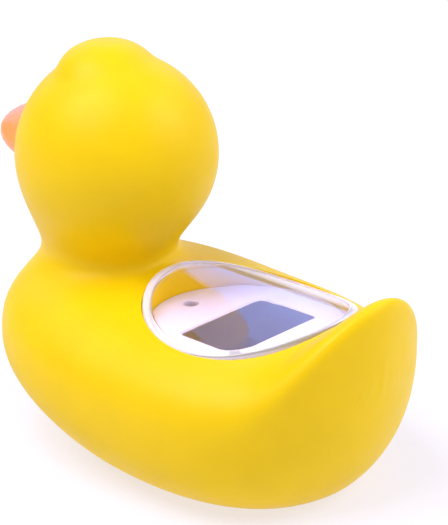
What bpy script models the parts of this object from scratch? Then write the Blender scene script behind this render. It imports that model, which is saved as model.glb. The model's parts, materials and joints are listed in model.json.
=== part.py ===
"""Floating baby bath thermometer in the form of a plain duck.

The duck faces -Y and floats upright. Its back holds an oval display under a clear window. Its
underside holds the battery, the temperature sensor and the two water contacts that switch it on.
Metres, +Z up, standing on z = 0. Lengths along Y are measured from the middle of the display,
and one empty then moves the whole object to the middle of its own box.
"""
from math import atan2, cos, pi, radians, sin, sqrt

import bmesh
import bpy
import numpy as np
from mathutils import Vector

MM = 0.001

# Clearances and facets
GAP = 0.3 * MM
CUT_PAST = 1.0 * MM
FACETS = {"oval": 40, "round": 24, "small": 12, "lead": 8, "bill": 18, "bill rings": 8}
SKIN_FACETS = ((14, 13, 14), 36)
HOLLOW_FACETS = ((10, 7, 8), 24)

# Duck body: a bent egg
BODY_MID_Y = -13.1 * MM
BODY_FRONT = 63.1 * MM
BODY_REAR = 57.2 * MM
BODY_HALF_WIDTH = 40.3 * MM
BACK_HEIGHT = 21.3 * MM
BELLY_DEPTH = 27.1 * MM
PLAN_SIDE_POWER = 1.83
PLAN_END_POWER = 2.73
BACK_POWER = 2.45
BELLY_POWER = 2.35
FLAT_HALF_WIDTH = 24.6 * MM

# Upturned tail and lifted chest
TAIL_START_Y = 27.6 * MM
TAIL_RISE = 1.75
TAIL_BEND = 3.9 * MM
TAIL_FILL = 0.95
CHEST_START_Y = -19.0 * MM
CHEST_RISE = 0.31
CHEST_BEND = 6.0 * MM
CHEST_TOP_SHARE = 0.31

# Head above the middle of the body, with the neck below it and a tuft on its crown
HEAD_Y = -46.1 * MM
HEAD_ABOVE_BODY = 50.9 * MM
HEAD_RADIUS = 26.3 * MM
HEAD_FILLET = 7.4 * MM
NECK_AHEAD = 5.0 * MM
NECK_BELOW_HEAD = 11.7 * MM
NECK_RADIUS = 17.6 * MM
NECK_HALF_HEIGHT = 33.8 * MM
NECK_FILLET = 11.1 * MM
NAPE_BEHIND_HEAD = 0.7 * MM
NAPE_BELOW_HEAD = 21.0 * MM
TUFT_AHEAD = 3.6 * MM
TUFT_SUNK = 4.1 * MM
TUFT_HALF_WIDTH = 12.7 * MM
TUFT_HALF_LENGTH = 11.2 * MM
TUFT_HALF_HEIGHT = 7.0 * MM
TUFT_FILLET = 2.2 * MM

# Moulded wall of the body
WALL = 2.4 * MM

# Window: an oval sheet bent down to both sides, in a seat in the back
WINDOW_LENGTH = 56.0 * MM
WINDOW_WIDTH = 52.0 * MM
WINDOW_ABOVE_BACK = 2.0 * MM
WINDOW_BEND = 49.7 * MM
RIM_BELOW_SEAT_LINE = 0.4 * MM
RIM_SLOPE = 0.8
RIM_DEPTH = 10.0 * MM
RIM_FILLET = 3.0 * MM
SEAT_DEPTH = 1.6 * MM
SEAT_WIDTH = 1.3 * MM
LENS_PROUD = 1.0 * MM
LENS_RIM_WIDTH = 1.9 * MM
LENS_BEVEL = 0.6 * MM
LENS_STEP = 0.5 * MM
LENS_FIELD_SUNK = 0.3 * MM
SEAL_THICKNESS = 0.5 * MM

# Well under the window and its ledge
PLATE_BELOW_SEAT = 0.2 * MM
WELL_WALL = 2.0 * MM
LEDGE_WIDTH = 3.0 * MM
LEDGE_THICKNESS = 2.0 * MM

# Display module
PLATE_THICKNESS = 1.5 * MM
LCD_WIDTH = 30.0 * MM
LCD_LENGTH = 17.0 * MM
LCD_WINDOW_CORNER = 1.6 * MM
LCD_WINDOW_BEVEL = 0.7 * MM
LCD_RIM = 1.2 * MM
LCD_THICKNESS = 1.8 * MM
STRIP_WIDTH = 1.8 * MM
STRIP_HEIGHT = 2.4 * MM
BOARD_THICKNESS = 1.2 * MM
LED_SHARE = 0.59
LED_HOLE_RADIUS = 1.9 * MM
LED_RADIUS = 1.5 * MM
LED_BELOW_PLATE = 0.9 * MM
POST_X = 6.0 * MM
POST_BESIDE_LCD = 3.5 * MM
POST_RADIUS = 2.0 * MM
CHIP_RADIUS = 3.6 * MM
CHIP_HEIGHT = 1.3 * MM
CHIP_Y = -3.0 * MM

# Screws: small pan heads for the board, larger ones for the base and the hatch
SMALL_SHANK = 0.8 * MM
SMALL_HEAD = 1.7 * MM
SMALL_HEAD_HEIGHT = 0.9 * MM
SMALL_LENGTH = 4.2 * MM
LARGE_SHANK = 1.1 * MM
LARGE_HEAD = 2.0 * MM
LARGE_HEAD_HEIGHT = 1.1 * MM
LARGE_LENGTH = 8.5 * MM
BOSS_WALL = 1.6 * MM

# Base plate in the underside
BASE_Y = -3.0 * MM
BASE_MARGIN = 0.7 * MM
BASE_SIDE_MARGIN = 2.8 * MM
BASE_INSET = 0.4 * MM
BASE_THICKNESS = 2.2 * MM
BASE_SEAL_THICKNESS = 0.8 * MM
BASE_LEDGE_WIDTH = 5.0 * MM
BASE_LEDGE_THICKNESS = 2.0 * MM
BASE_SCREW_ANGLE = radians(44.0)
BOSS_HEIGHT = 8.0 * MM

# Battery hatch, with a lithium coin cell of 20 by 3.2 mm
CELL_RADIUS = 10.0 * MM
CELL_THICKNESS = 3.2 * MM
CELL_CLEARANCE = 0.6 * MM
CUP_WALL = 1.6 * MM
HATCH_SEAT_WIDTH = 2.0 * MM
HATCH_THICKNESS = 1.7 * MM
HATCH_EAR_RADIUS = 3.6 * MM
HATCH_TONGUE_WIDTH = 6.0 * MM
HATCH_TONGUE_REACH = 1.6 * MM
HATCH_TONGUE_THICKNESS = 0.8 * MM
HATCH_FRAME_WALL = 1.3 * MM
HATCH_FRAME_HEIGHT = 2.0 * MM
HATCH_SCREW_LENGTH = 5.0 * MM
CELL_EDGE = 0.4 * MM
CELL_STEP = 1.2 * MM
CONTACT_SHEET = 0.4 * MM
CONTACT_WIDTH = 4.0 * MM
CONTACT_TAB_RISE = 2.4 * MM

# Temperature sensor and water contacts
SENSOR_RADIUS = 2.3 * MM
SENSOR_FLANGE = 3.2 * MM
SENSOR_WALL = 0.4 * MM
SENSOR_HEIGHT = 5.0 * MM
BEAD_RADIUS = 0.9 * MM
PROBE_BESIDE_SENSOR = 1.8 * MM
PROBE_BEHIND_SENSOR = 1.3 * MM
PROBE_RADIUS = 1.2 * MM
PROBE_HEAD = 2.2 * MM
PROBE_HEAD_HEIGHT = 0.8 * MM
PROBE_HEIGHT = 5.2 * MM
PROBE_SUNK = 0.2 * MM

# Leads: radius, how far each leans at half height, and its pad under the circuit board
LEAD_RADIUS = 0.5 * MM
SENSOR_LEAD_RADIUS = 0.3 * MM
SENSOR_LEAD_X = 0.6 * MM
POSITIVE_LEAN = (3.0 * MM, -2.0 * MM)
NEGATIVE_LEAN = (-4.0 * MM, 4.0 * MM)
SENSE_LEAN = (1.0 * MM, 2.0 * MM)
POSITIVE_PAD = (2.0 * MM, 7.0 * MM)
NEGATIVE_PAD = (-2.0 * MM, 4.0 * MM)
WATER_PAD = (7.0 * MM, -5.8 * MM)
SENSOR_PAD = (2.4 * MM, -8.2 * MM)

# Bill, with its root inside the head
BILL_SUNK = 8.3 * MM
BILL_REACH = 9.1 * MM
BILL_HALF_WIDTH = 11.5 * MM
BILL_UPPER_MID = -2.0 * MM
BILL_UPPER_HALF = 6.2 * MM
BILL_UPTURN = 2.4 * MM
BILL_LOWER_MID = -7.0 * MM
BILL_LOWER_HALF = 4.2 * MM
BILL_LOWER_SHORTER = 2.2 * MM
BILL_PLAN_POWER = 2.2
BILL_SIDE_POWER = 2.0
BILL_TIP_THINNING = 0.35
BILL_PEG_RADIUS = 4.0 * MM

# Eyes
EYE_TURN = radians(22.0)
EYE_LIFT = radians(16.0)
EYE_RADIUS = 3.2 * MM
EYE_SOCKET_DEPTH = 1.5 * MM
EYE_PROUD = 0.45 * MM
EYE_EDGE_SUNK = 0.25 * MM

# Derived levels, all above the ground
flat_share = FLAT_HALF_WIDTH / BODY_HALF_WIDTH
BODY_MID_Z = BELLY_DEPTH * (1.0 - flat_share ** BELLY_POWER) ** (1.0 / BELLY_POWER)
HEAD_Z = BODY_MID_Z + HEAD_ABOVE_BODY
NECK_Y = HEAD_Y - NECK_AHEAD
NECK_Z = HEAD_Z - NECK_BELOW_HEAD
TUFT_Y = HEAD_Y - TUFT_AHEAD
TUFT_Z = HEAD_Z + HEAD_RADIUS - TUFT_SUNK
NAPE_Y = HEAD_Y + HEAD_RADIUS + NAPE_BEHIND_HEAD
NAPE_Z = HEAD_Z - NAPE_BELOW_HEAD
TAIL_END_Y = BODY_MID_Y + BODY_REAR
BILL_LENGTH = HEAD_RADIUS + BILL_REACH
BILL_ROOT = HEAD_RADIUS - BILL_SUNK
BILL_TIP_Y = HEAD_Y - BILL_LENGTH
DISPLAY_TO_MIDDLE = -0.5 * (TAIL_END_Y + BILL_TIP_Y)

# Level of the window on its middle line, and a level above everything on the back
WINDOW_Z = BODY_MID_Z + BACK_HEIGHT + WINDOW_ABOVE_BACK
ABOVE_WINDOW = WINDOW_Z + LENS_PROUD + 4.0 * MM


def soft_ramp(value, bend):
    """Zero before the start and a straight rise after it, with a smooth bend between."""
    return bend * np.logaddexp(0.0, value / bend)


def fillet(a, b, width):
    """The smaller of two distances, rounded where they are nearly equal."""
    near = np.clip(width - np.abs(a - b), 0.0, None) / width
    return np.minimum(a, b) - near * near * width / 4.0


def ellipsoid_distance(x, y, z, middle_y, middle_z, radii):
    """Approximate distance to an ellipsoid, negative inside."""
    px = x / radii[0]
    py = (y - middle_y) / radii[1]
    pz = (z - middle_z) / radii[2]
    size = np.sqrt(px * px + py * py + pz * pz)
    slope = np.sqrt((px / radii[0]) ** 2 + (py / radii[1]) ** 2 + (pz / radii[2]) ** 2)
    return size * (size - 1.0) / np.maximum(slope, 1e-9)


def tail_lift(y):
    """Height that the tail adds to the body's middle line."""
    return TAIL_RISE * soft_ramp(y - TAIL_START_Y, TAIL_BEND)


def chest_lift(y):
    """Height that the chest's underside rises towards the front."""
    return CHEST_RISE * soft_ramp(CHEST_START_Y - y, CHEST_BEND)


def middle_height(y):
    """Height of the body's middle line, where it is widest."""
    return BODY_MID_Z + tail_lift(y) + CHEST_TOP_SHARE * chest_lift(y)


def body_distance(x, y, z):
    """Approximate distance to the bent egg, negative inside."""
    end = np.where(y < BODY_MID_Y, BODY_FRONT, BODY_REAR)
    along = np.abs(y - BODY_MID_Y) / end
    across = np.abs(x) / BODY_HALF_WIDTH
    rise = z - middle_height(y)
    belly = BELLY_DEPTH + TAIL_FILL * tail_lift(y) - (1.0 - CHEST_TOP_SHARE) * chest_lift(y)
    up = np.abs(rise) / np.where(rise > 0.0, BACK_HEIGHT, belly)
    power = np.where(rise > 0.0, BACK_POWER, BELLY_POWER)
    plan = across ** PLAN_SIDE_POWER + along ** PLAN_END_POWER
    size = (plan ** (power / PLAN_SIDE_POWER) + up ** power) ** (1.0 / power)
    reach = np.sqrt(x * x + (y - BODY_MID_Y) ** 2 + rise * rise)
    return 0.8 * reach * (size - 1.0) / np.maximum(size, 1e-6)


def window_level(x):
    """Height of the window's seat line, which bends down to both sides."""
    return WINDOW_Z - x * x / (2.0 * WINDOW_BEND)


def rim_distance(x, y, z):
    """Approximate distance to the raised rim that carries the window, negative inside."""
    half_width = 0.5 * WINDOW_WIDTH + GAP
    half_length = 0.5 * WINDOW_LENGTH + GAP
    outside = half_width * (np.sqrt((x / half_width) ** 2 + (y / half_length) ** 2) - 1.0)
    top = window_level(x) - RIM_BELOW_SEAT_LINE - RIM_SLOPE * np.maximum(outside, 0.0)
    return np.maximum(z - top, WINDOW_Z - RIM_DEPTH - z)


def duck_distance(x, y, z):
    """Approximate distance to the duck's skin, negative inside."""
    neck_radii = (NECK_RADIUS, NECK_RADIUS, NECK_HALF_HEIGHT)
    tuft_radii = (TUFT_HALF_WIDTH, TUFT_HALF_LENGTH, TUFT_HALF_HEIGHT)
    neck = ellipsoid_distance(x, y, z, NECK_Y, NECK_Z, neck_radii)
    head = ellipsoid_distance(x, y, z, HEAD_Y, HEAD_Z, (HEAD_RADIUS,) * 3)
    tuft = ellipsoid_distance(x, y, z, TUFT_Y, TUFT_Z, tuft_radii)
    form = fillet(body_distance(x, y, z), rim_distance(x, y, z), RIM_FILLET)
    form = fillet(form, neck, NECK_FILLET)
    form = fillet(form, head, HEAD_FILLET)
    return fillet(form, tuft, TUFT_FILLET)


def skin_distance(x, y, z):
    """The duck's distance made true to length by the slope of the form."""
    step = 0.02 * MM
    here = duck_distance(x, y, z)
    slope_x = (duck_distance(x + step, y, z) - here) / step
    slope_y = (duck_distance(x, y + step, z) - here) / step
    slope_z = (duck_distance(x, y, z + step) - here) / step
    return here / np.maximum(np.sqrt(slope_x ** 2 + slope_y ** 2 + slope_z ** 2), 0.3)


def crossing(distance, inside, outside, level):
    """Parameter between an inner and an outer value at which a distance reaches a level."""
    for _ in range(26):
        middle = 0.5 * (inside + outside)
        beyond = distance(middle) > level
        outside = np.where(beyond, middle, outside)
        inside = np.where(beyond, inside, middle)
    return 0.5 * (inside + outside)


def spine(rings, level):
    """Middle points and upward directions of the rings from the tail, over the nape, to the crown."""
    tail_rings, fan_rings, head_rings = rings
    beyond = level + 5.0 * MM

    def along(y):
        return skin_distance(0.0, y, middle_height(y))

    def upward(z):
        return skin_distance(0.0, HEAD_Y, z)

    tail_y = crossing(along, 0.0, TAIL_END_Y + beyond, level)
    crown_z = crossing(upward, HEAD_Z, TUFT_Z + TUFT_HALF_HEIGHT + beyond, level)
    places = []
    for i in range(tail_rings):
        y = NAPE_Y + (tail_y - NAPE_Y) * cos(0.5 * pi * i / (tail_rings - 1))
        places.append((y, middle_height(y), 0.0, 1.0))
    for i in range(1, fan_rings + 1):
        share = i / fan_rings
        turn = 0.5 * pi * share
        reach = (1.0 - share) * (NAPE_Z - middle_height(NAPE_Y)) + share * (NAPE_Y - HEAD_Y)
        places.append((NAPE_Y - sin(turn) * reach, NAPE_Z - cos(turn) * reach, sin(turn), cos(turn)))
    for i in range(1, head_rings + 1):
        height = NAPE_Z + (crown_z - NAPE_Z) * sin(0.5 * pi * i / head_rings)
        places.append((HEAD_Y, height, 1.0, 0.0))
    return places


def duck_loops(facets, level):
    """Closed rings on the duck's form, at a distance from its skin."""
    rings, spokes = facets
    places = np.array(spine(rings, level))
    turn = 2.0 * pi * np.arange(spokes) / spokes
    side = -np.sin(turn)[None, :] * np.ones((len(places), 1))
    dy = places[:, 2:3] * np.cos(turn)[None, :]
    dz = places[:, 3:4] * np.cos(turn)[None, :]
    middle_y = places[:, 0:1] * np.ones_like(dy)
    middle_z = places[:, 1:2] * np.ones_like(dy)

    def depth(reach):
        return skin_distance(reach * side, middle_y + reach * dy, middle_z + reach * dz)

    def form(reach):
        return duck_distance(reach * side, middle_y + reach * dy, middle_z + reach * dz)

    step = 1.0 * MM
    reach = np.zeros_like(dy)
    while np.any(form(reach + step) < 0.0):
        reach = np.where(form(reach + step) < 0.0, reach + step, reach)
    reach = crossing(form, reach, reach + step, 0.0)
    if level > 0.0:
        reach = crossing(depth, reach, reach + 3.0 * level, level)
    if level < 0.0:
        while np.any((depth(reach) > level) & (reach > 0.0)):
            reach = np.where(depth(reach) > level, np.maximum(reach - step, 0.0), reach)
        reach = crossing(depth, reach, reach + step, level)
    loops = []
    for i in range(len(places)):
        y = middle_y[i] + reach[i] * dy[i]
        z = middle_z[i] + reach[i] * dz[i]
        loops.append([Vector(p) for p in zip(reach[i] * side[i], y, z)])
    loops[0] = [Vector((0.0, places[0, 0], places[0, 1]))]
    loops[-1] = [Vector((0.0, places[-1, 0], places[-1, 1]))]
    return loops


def tree_root():
    """The empty that carries the whole object."""
    root = bpy.data.objects.new("thermometer_frame", None)
    root.location.y = DISPLAY_TO_MIDDLE
    bpy.context.scene.collection.objects.link(root)
    return root


def finish(name, color, roughness=0.5, metallic=0.0, transmission=0.0):
    """A plain material."""
    material = bpy.data.materials.new(name)
    material.use_nodes = True
    surface = material.node_tree.nodes["Principled BSDF"]
    surface.inputs["Base Color"].default_value = (*color, 1.0)
    surface.inputs["Roughness"].default_value = roughness
    surface.inputs["Metallic"].default_value = metallic
    surface.inputs["Transmission Weight"].default_value = transmission
    return material


def add(name, mesh, material, parent):
    """One named object with smooth round faces and sharp edges."""
    mesh.shade_smooth()
    mesh.set_sharp_from_angle(angle=radians(35.0))
    if material:
        mesh.materials.append(material)
    thing = bpy.data.objects.new(name, mesh)
    thing.parent = parent
    bpy.context.scene.collection.objects.link(thing)
    return thing


def lofted(name, loops, material, parent, ring=False):
    """A closed solid through loops; a loop of one point closes to it, and a ring joins end to end."""
    form = bmesh.new()
    rows = [[form.verts.new(point) for point in loop] for loop in loops]
    if ring:
        rows.append(rows[0])
    for low, high in zip(rows, rows[1:]):
        count = max(len(low), len(high))
        for i in range(count):
            j = (i + 1) % count
            corners = [low[i % len(low)], low[j % len(low)], high[j % len(high)], high[i % len(high)]]
            form.faces.new(list(dict.fromkeys(corners)))
    if not ring and len(rows[0]) > 1:
        form.faces.new(rows[0][::-1])
    if not ring and len(rows[-1]) > 1:
        form.faces.new(rows[-1])
    mesh = bpy.data.meshes.new(name)
    form.to_mesh(mesh)
    form.free()
    return add(name, mesh, material, parent)


def circle(radius, z, x=0.0, y=0.0, points=FACETS["round"]):
    """One round loop, or one point where the radius is nothing."""
    if radius == 0.0:
        return [Vector((x, y, z))]
    turns = [2.0 * pi * i / points for i in range(points)]
    return [Vector((x + radius * cos(t), y + radius * sin(t), z)) for t in turns]


def turned(name, profile, material, parent, x=0.0, y=0.0, points=FACETS["round"], ring=False):
    """A solid of revolution about a vertical line; the profile gives radius and height upwards."""
    loops = [circle(radius, z, x, y, points) for radius, z in profile]
    return lofted(name, loops, material, parent, ring)


def oval(width, length, middle_y, offset=0.0):
    """Points across and along an oval, moved outwards by an offset."""
    points = []
    for i in range(FACETS["oval"]):
        t = 2.0 * pi * i / FACETS["oval"]
        outward = Vector((length * sin(t), -width * cos(t))).normalized()
        x = 0.5 * width * sin(t) + offset * outward.x
        points.append((x, middle_y - 0.5 * length * cos(t) + offset * outward.y))
    return points


def window_oval(z, offset=0.0):
    """The window's outline at one height, moved outwards by an offset."""
    return [Vector((x, y, z)) for x, y in oval(WINDOW_WIDTH, WINDOW_LENGTH, 0.0, offset)]


def bent_oval(above, offset=0.0, share=1.0):
    """The window's outline, or a share of it, at a height above the bent seat line."""
    points = [(share * x, share * y) for x, y in oval(WINDOW_WIDTH, WINDOW_LENGTH, 0.0, offset)]
    return [Vector((x, y, window_level(x) + above)) for x, y in points]


def base_oval(z, offset=0.0):
    """The base plate's outline, moved outwards by an offset."""
    return [Vector((x, y, z)) for x, y in oval(BASE_WIDTH, BASE_LENGTH, BASE_Y, offset)]


def rounded_rectangle(width, length, corner, z, x=0.0, y=0.0, corner_points=4):
    """A rectangle with round corners, as one loop."""
    loop = []
    for quarter, (sx, sy) in enumerate([(1, 1), (-1, 1), (-1, -1), (1, -1)]):
        middle_x = x + sx * (0.5 * width - corner)
        middle_y = y + sy * (0.5 * length - corner)
        for i in range(corner_points + 1):
            t = 0.5 * pi * (quarter + i / corner_points)
            loop.append(Vector((middle_x + corner * cos(t), middle_y + corner * sin(t), z)))
    return loop


def dome(radius, height, bottom, steps=4):
    """The upper quarter of an oval as a profile that ends on the middle line."""
    turns = [0.5 * pi * i / steps for i in range(steps)]
    return [(radius * cos(t), bottom + height * sin(t)) for t in turns] + [(0.0, bottom + height)]


def upside_down(profile, level):
    """A profile mirrored about a level, from its lower end upwards."""
    return [(radius, 2.0 * level - z) for radius, z in reversed(profile)]


def box(name, low, high, material, parent):
    """A plain block between two corners."""
    loops = []
    for z in (low[2], high[2]):
        corners = [(low[0], low[1]), (high[0], low[1]), (high[0], high[1]), (low[0], high[1])]
        loops.append([Vector((x, y, z)) for x, y in corners])
    return lofted(name, loops, material, parent)


def ground_block(name, top, root):
    """A wide block below a level, for cutting a plain flat."""
    reach = 2.0 * BODY_FRONT
    return box(name, (-reach, -reach, -BELLY_DEPTH), (reach, reach, top), None, root)


def combine(target, tool, operation):
    """Cut a hidden tool from a piece, or join it to the piece."""
    tool.hide_render = True
    tool.display_type = "WIRE"
    change = target.modifiers.new(tool.name, "BOOLEAN")
    change.operation = operation
    change.object = tool


def cut(target, tool):
    combine(target, tool, "DIFFERENCE")


def join(target, tool):
    combine(target, tool, "UNION")


def lead(name, route, radius, material, parent):
    """An insulated lead through a few points, as a round tube along a smooth curve."""
    points = [Vector(p) for p in route]
    points = [2.0 * points[0] - points[1]] + points + [2.0 * points[-1] - points[-2]]
    curve = bpy.data.curves.new(name, "CURVE")
    curve.dimensions = "3D"
    curve.bevel_depth = radius
    curve.bevel_resolution = 2
    curve.use_fill_caps = True
    spans = len(points) - 3
    line = curve.splines.new("POLY")
    line.points.add(FACETS["lead"] - 1)
    for i in range(FACETS["lead"]):
        place = spans * i / (FACETS["lead"] - 1)
        span = min(int(place), spans - 1)
        t = place - span
        a, b, c, d = points[span:span + 4]
        bend = 2.0 * b + (c - a) * t + (2.0 * a - 5.0 * b + 4.0 * c - d) * t * t
        spot = 0.5 * (bend + (3.0 * b - a - 3.0 * c + d) * t * t * t)
        line.points[i].co = (*spot, 1.0)
    curve.materials.append(material)
    thing = bpy.data.objects.new(name, curve)
    thing.parent = parent
    bpy.context.scene.collection.objects.link(thing)
    return thing


def pan_screw(name, shank, head, head_height, length, seat_z, x, y, material, parent):
    """A screw driven upwards; its head lies under a seat."""
    top = seat_z - GAP
    profile = [(0.0, top - head_height), (0.7 * head, top - head_height), (head, top - 0.5 * head_height)]
    profile += [(head, top), (shank, top), (shank, top + length - shank), (0.3 * shank, top + length)]
    profile += [(0.0, top + length)]
    return turned(name, profile, material, parent, x, y, FACETS["small"])


# Materials
YELLOW = finish("soft_touch_yellow", (0.86, 0.56, 0.01), 0.45)
ORANGE = finish("glossy_orange", (0.95, 0.42, 0.14), 0.2)
BLACK = finish("glossy_black", (0.01, 0.01, 0.012), 0.15)
CLEAR = finish("clear_plastic", (0.95, 0.93, 0.97), 0.05, transmission=1.0)
MILKY = finish("milky_silicone", (0.82, 0.8, 0.84), 0.5)
WHITE = finish("white_plastic", (0.83, 0.84, 0.9), 0.35)
GLASS = finish("display_glass", (0.19, 0.16, 0.14), 0.12)
RUBBER = finish("contact_rubber", (0.04, 0.04, 0.045), 0.7)
GREEN = finish("board_green", (0.02, 0.17, 0.07), 0.4)
EPOXY = finish("epoxy_black", (0.015, 0.015, 0.018), 0.35)
SMOKED = finish("smoked_led", (0.3, 0.2, 0.2), 0.2)
STEEL = finish("stainless_steel", (0.6, 0.6, 0.62), 0.25, 1.0)
NICKEL = finish("nickel_plate", (0.66, 0.64, 0.6), 0.3, 1.0)
RED_LEAD = finish("red_insulation", (0.55, 0.02, 0.02), 0.45)
BLACK_LEAD = finish("black_insulation", (0.02, 0.02, 0.02), 0.45)

# Levels of the display module, from the face plate's top downwards
seat_side_x = 0.5 * WINDOW_WIDTH - SEAT_WIDTH
PLATE_TOP = WINDOW_Z - seat_side_x ** 2 / (2.0 * WINDOW_BEND) - SEAT_DEPTH - PLATE_BELOW_SEAT
PLATE_BOTTOM = PLATE_TOP - PLATE_THICKNESS
LCD_TOP = PLATE_BOTTOM - GAP
LCD_BOTTOM = LCD_TOP - LCD_THICKNESS
BOARD_TOP = LCD_BOTTOM - STRIP_HEIGHT - 2.0 * GAP
BOARD_BOTTOM = BOARD_TOP - BOARD_THICKNESS
LEDGE_TOP = BOARD_BOTTOM - GAP
LEDGE_BOTTOM = LEDGE_TOP - LEDGE_THICKNESS
CHIP_TOP = BOARD_BOTTOM - GAP

# Places of the display module along the duck
LCD_EDGE = 0.5 * LCD_LENGTH
LED_Y = -LCD_EDGE - LED_SHARE * (0.5 * WINDOW_LENGTH - LCD_EDGE)
POST_Y = LCD_EDGE + LCD_RIM + POST_BESIDE_LCD

# Levels of the underside, from the ground upwards
BASE_BOTTOM = BASE_INSET
BASE_TOP = BASE_BOTTOM + BASE_THICKNESS
BASE_SEAL_TOP = BASE_TOP + GAP + BASE_SEAL_THICKNESS
BASE_LEDGE_BOTTOM = BASE_SEAL_TOP + GAP
BASE_LEDGE_TOP = BASE_LEDGE_BOTTOM + BASE_LEDGE_THICKNESS
BOSS_TOP = BASE_LEDGE_TOP + BOSS_HEIGHT
BASE_SCREW_SEAT = BASE_BOTTOM + GAP + LARGE_HEAD_HEIGHT + GAP
BOSS_RADIUS = LARGE_SHANK + GAP + BOSS_WALL

# Levels of the battery hatch
HATCH_TOP = BASE_BOTTOM + HATCH_THICKNESS
HATCH_SEAT = HATCH_TOP + GAP
CELL_BOTTOM = HATCH_SEAT
CELL_TOP = CELL_BOTTOM + CELL_THICKNESS
CUP_CEILING = CELL_TOP + CONTACT_SHEET + 2.0 * GAP
CUP_TOP = CUP_CEILING + CUP_WALL
CUP_RADIUS = CELL_RADIUS + CELL_CLEARANCE
HATCH_RADIUS = CUP_RADIUS + HATCH_SEAT_WIDTH
FRAME_RADIUS = HATCH_RADIUS + GAP + HATCH_FRAME_WALL
FRAME_TOP = BASE_TOP + HATCH_FRAME_HEIGHT
HATCH_SCREW_SEAT = BASE_BOTTOM + LARGE_HEAD_HEIGHT + GAP
HATCH_BOSS_TOP = HATCH_SCREW_SEAT + HATCH_SCREW_LENGTH + 0.8 * MM

# The base is as long as the sensor, the battery cup and the hatch's ear behind each other
EAR_BEHIND_CELL = HATCH_RADIUS + 0.3 * HATCH_EAR_RADIUS
ear_end = EAR_BEHIND_CELL + HATCH_EAR_RADIUS + GAP
inner_length = 2.0 * SENSOR_FLANGE + FRAME_RADIUS + ear_end + 3.0 * BASE_MARGIN
BASE_LENGTH = inner_length + 2.0 * BASE_LEDGE_WIDTH
BASE_WIDTH = 2.0 * (FRAME_RADIUS + BASE_SIDE_MARGIN + BASE_LEDGE_WIDTH)
SENSOR_Y = BASE_Y - 0.5 * inner_length + BASE_MARGIN + SENSOR_FLANGE
CELL_Y = SENSOR_Y + SENSOR_FLANGE + BASE_MARGIN + FRAME_RADIUS
EAR_Y = CELL_Y + EAR_BEHIND_CELL
PROBE_X = SENSOR_FLANGE + PROBE_HEAD + PROBE_BESIDE_SENSOR
PROBE_Y = SENSOR_Y + PROBE_BEHIND_SENSOR


def base_screw_places():
    """The four screws of the base plate, on the middle line of its ledge."""
    half_width = 0.5 * (BASE_WIDTH - BASE_LEDGE_WIDTH)
    half_length = 0.5 * (BASE_LENGTH - BASE_LEDGE_WIDTH)
    places = []
    for sx, sy in [(1, 1), (-1, 1), (-1, -1), (1, -1)]:
        x = sx * half_width * sin(BASE_SCREW_ANGLE)
        y = BASE_Y + sy * half_length * cos(BASE_SCREW_ANGLE)
        places.append((x, y))
    return places


def post_places():
    """The four posts between the face plate and the circuit board."""
    return [(sx * POST_X, sy * POST_Y) for sy in (-1, 1) for sx in (-1, 1)]


def eye_places():
    """Middle point and outward direction of each eye's place on the head."""
    places = []
    for side in (1, -1):
        level = Vector((side * sin(EYE_TURN), -cos(EYE_TURN), 0.0)) * cos(EYE_LIFT)
        outward = level + Vector((0.0, 0.0, sin(EYE_LIFT)))
        places.append((Vector((0.0, HEAD_Y, HEAD_Z)) + HEAD_RADIUS * outward, outward))
    return places


def duck_hollow(root):
    """The space inside the body, which leaves the display well and the screw bosses standing."""
    hollow = lofted("hollow", duck_loops(HOLLOW_FACETS, -WALL), None, root)
    cut(hollow, ground_block("hollow_floor", BASE_LEDGE_TOP, root))
    sleeve_offset = WELL_WALL + GAP - SEAT_WIDTH
    sleeve = [window_oval(z, sleeve_offset) for z in (LEDGE_BOTTOM, ABOVE_WINDOW)]
    cut(hollow, lofted("well_sleeve", sleeve, None, root))
    for i, (x, y) in enumerate(base_screw_places()):
        profile = [(BOSS_RADIUS, 0.0), (BOSS_RADIUS, BOSS_TOP)]
        cut(hollow, turned(f"boss_{i + 1}", profile, None, root, x, y, FACETS["small"]))
    return hollow


def window_seat(root):
    """The ring cut into the back for the window, with a bent floor."""
    inner = -2.0 * SEAT_WIDTH
    steps = [bent_oval(-SEAT_DEPTH, inner), bent_oval(-SEAT_DEPTH, GAP)]
    steps += [window_oval(ABOVE_WINDOW, GAP), window_oval(ABOVE_WINDOW, inner)]
    return lofted("window_seat", steps, None, root, ring=True)


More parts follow.
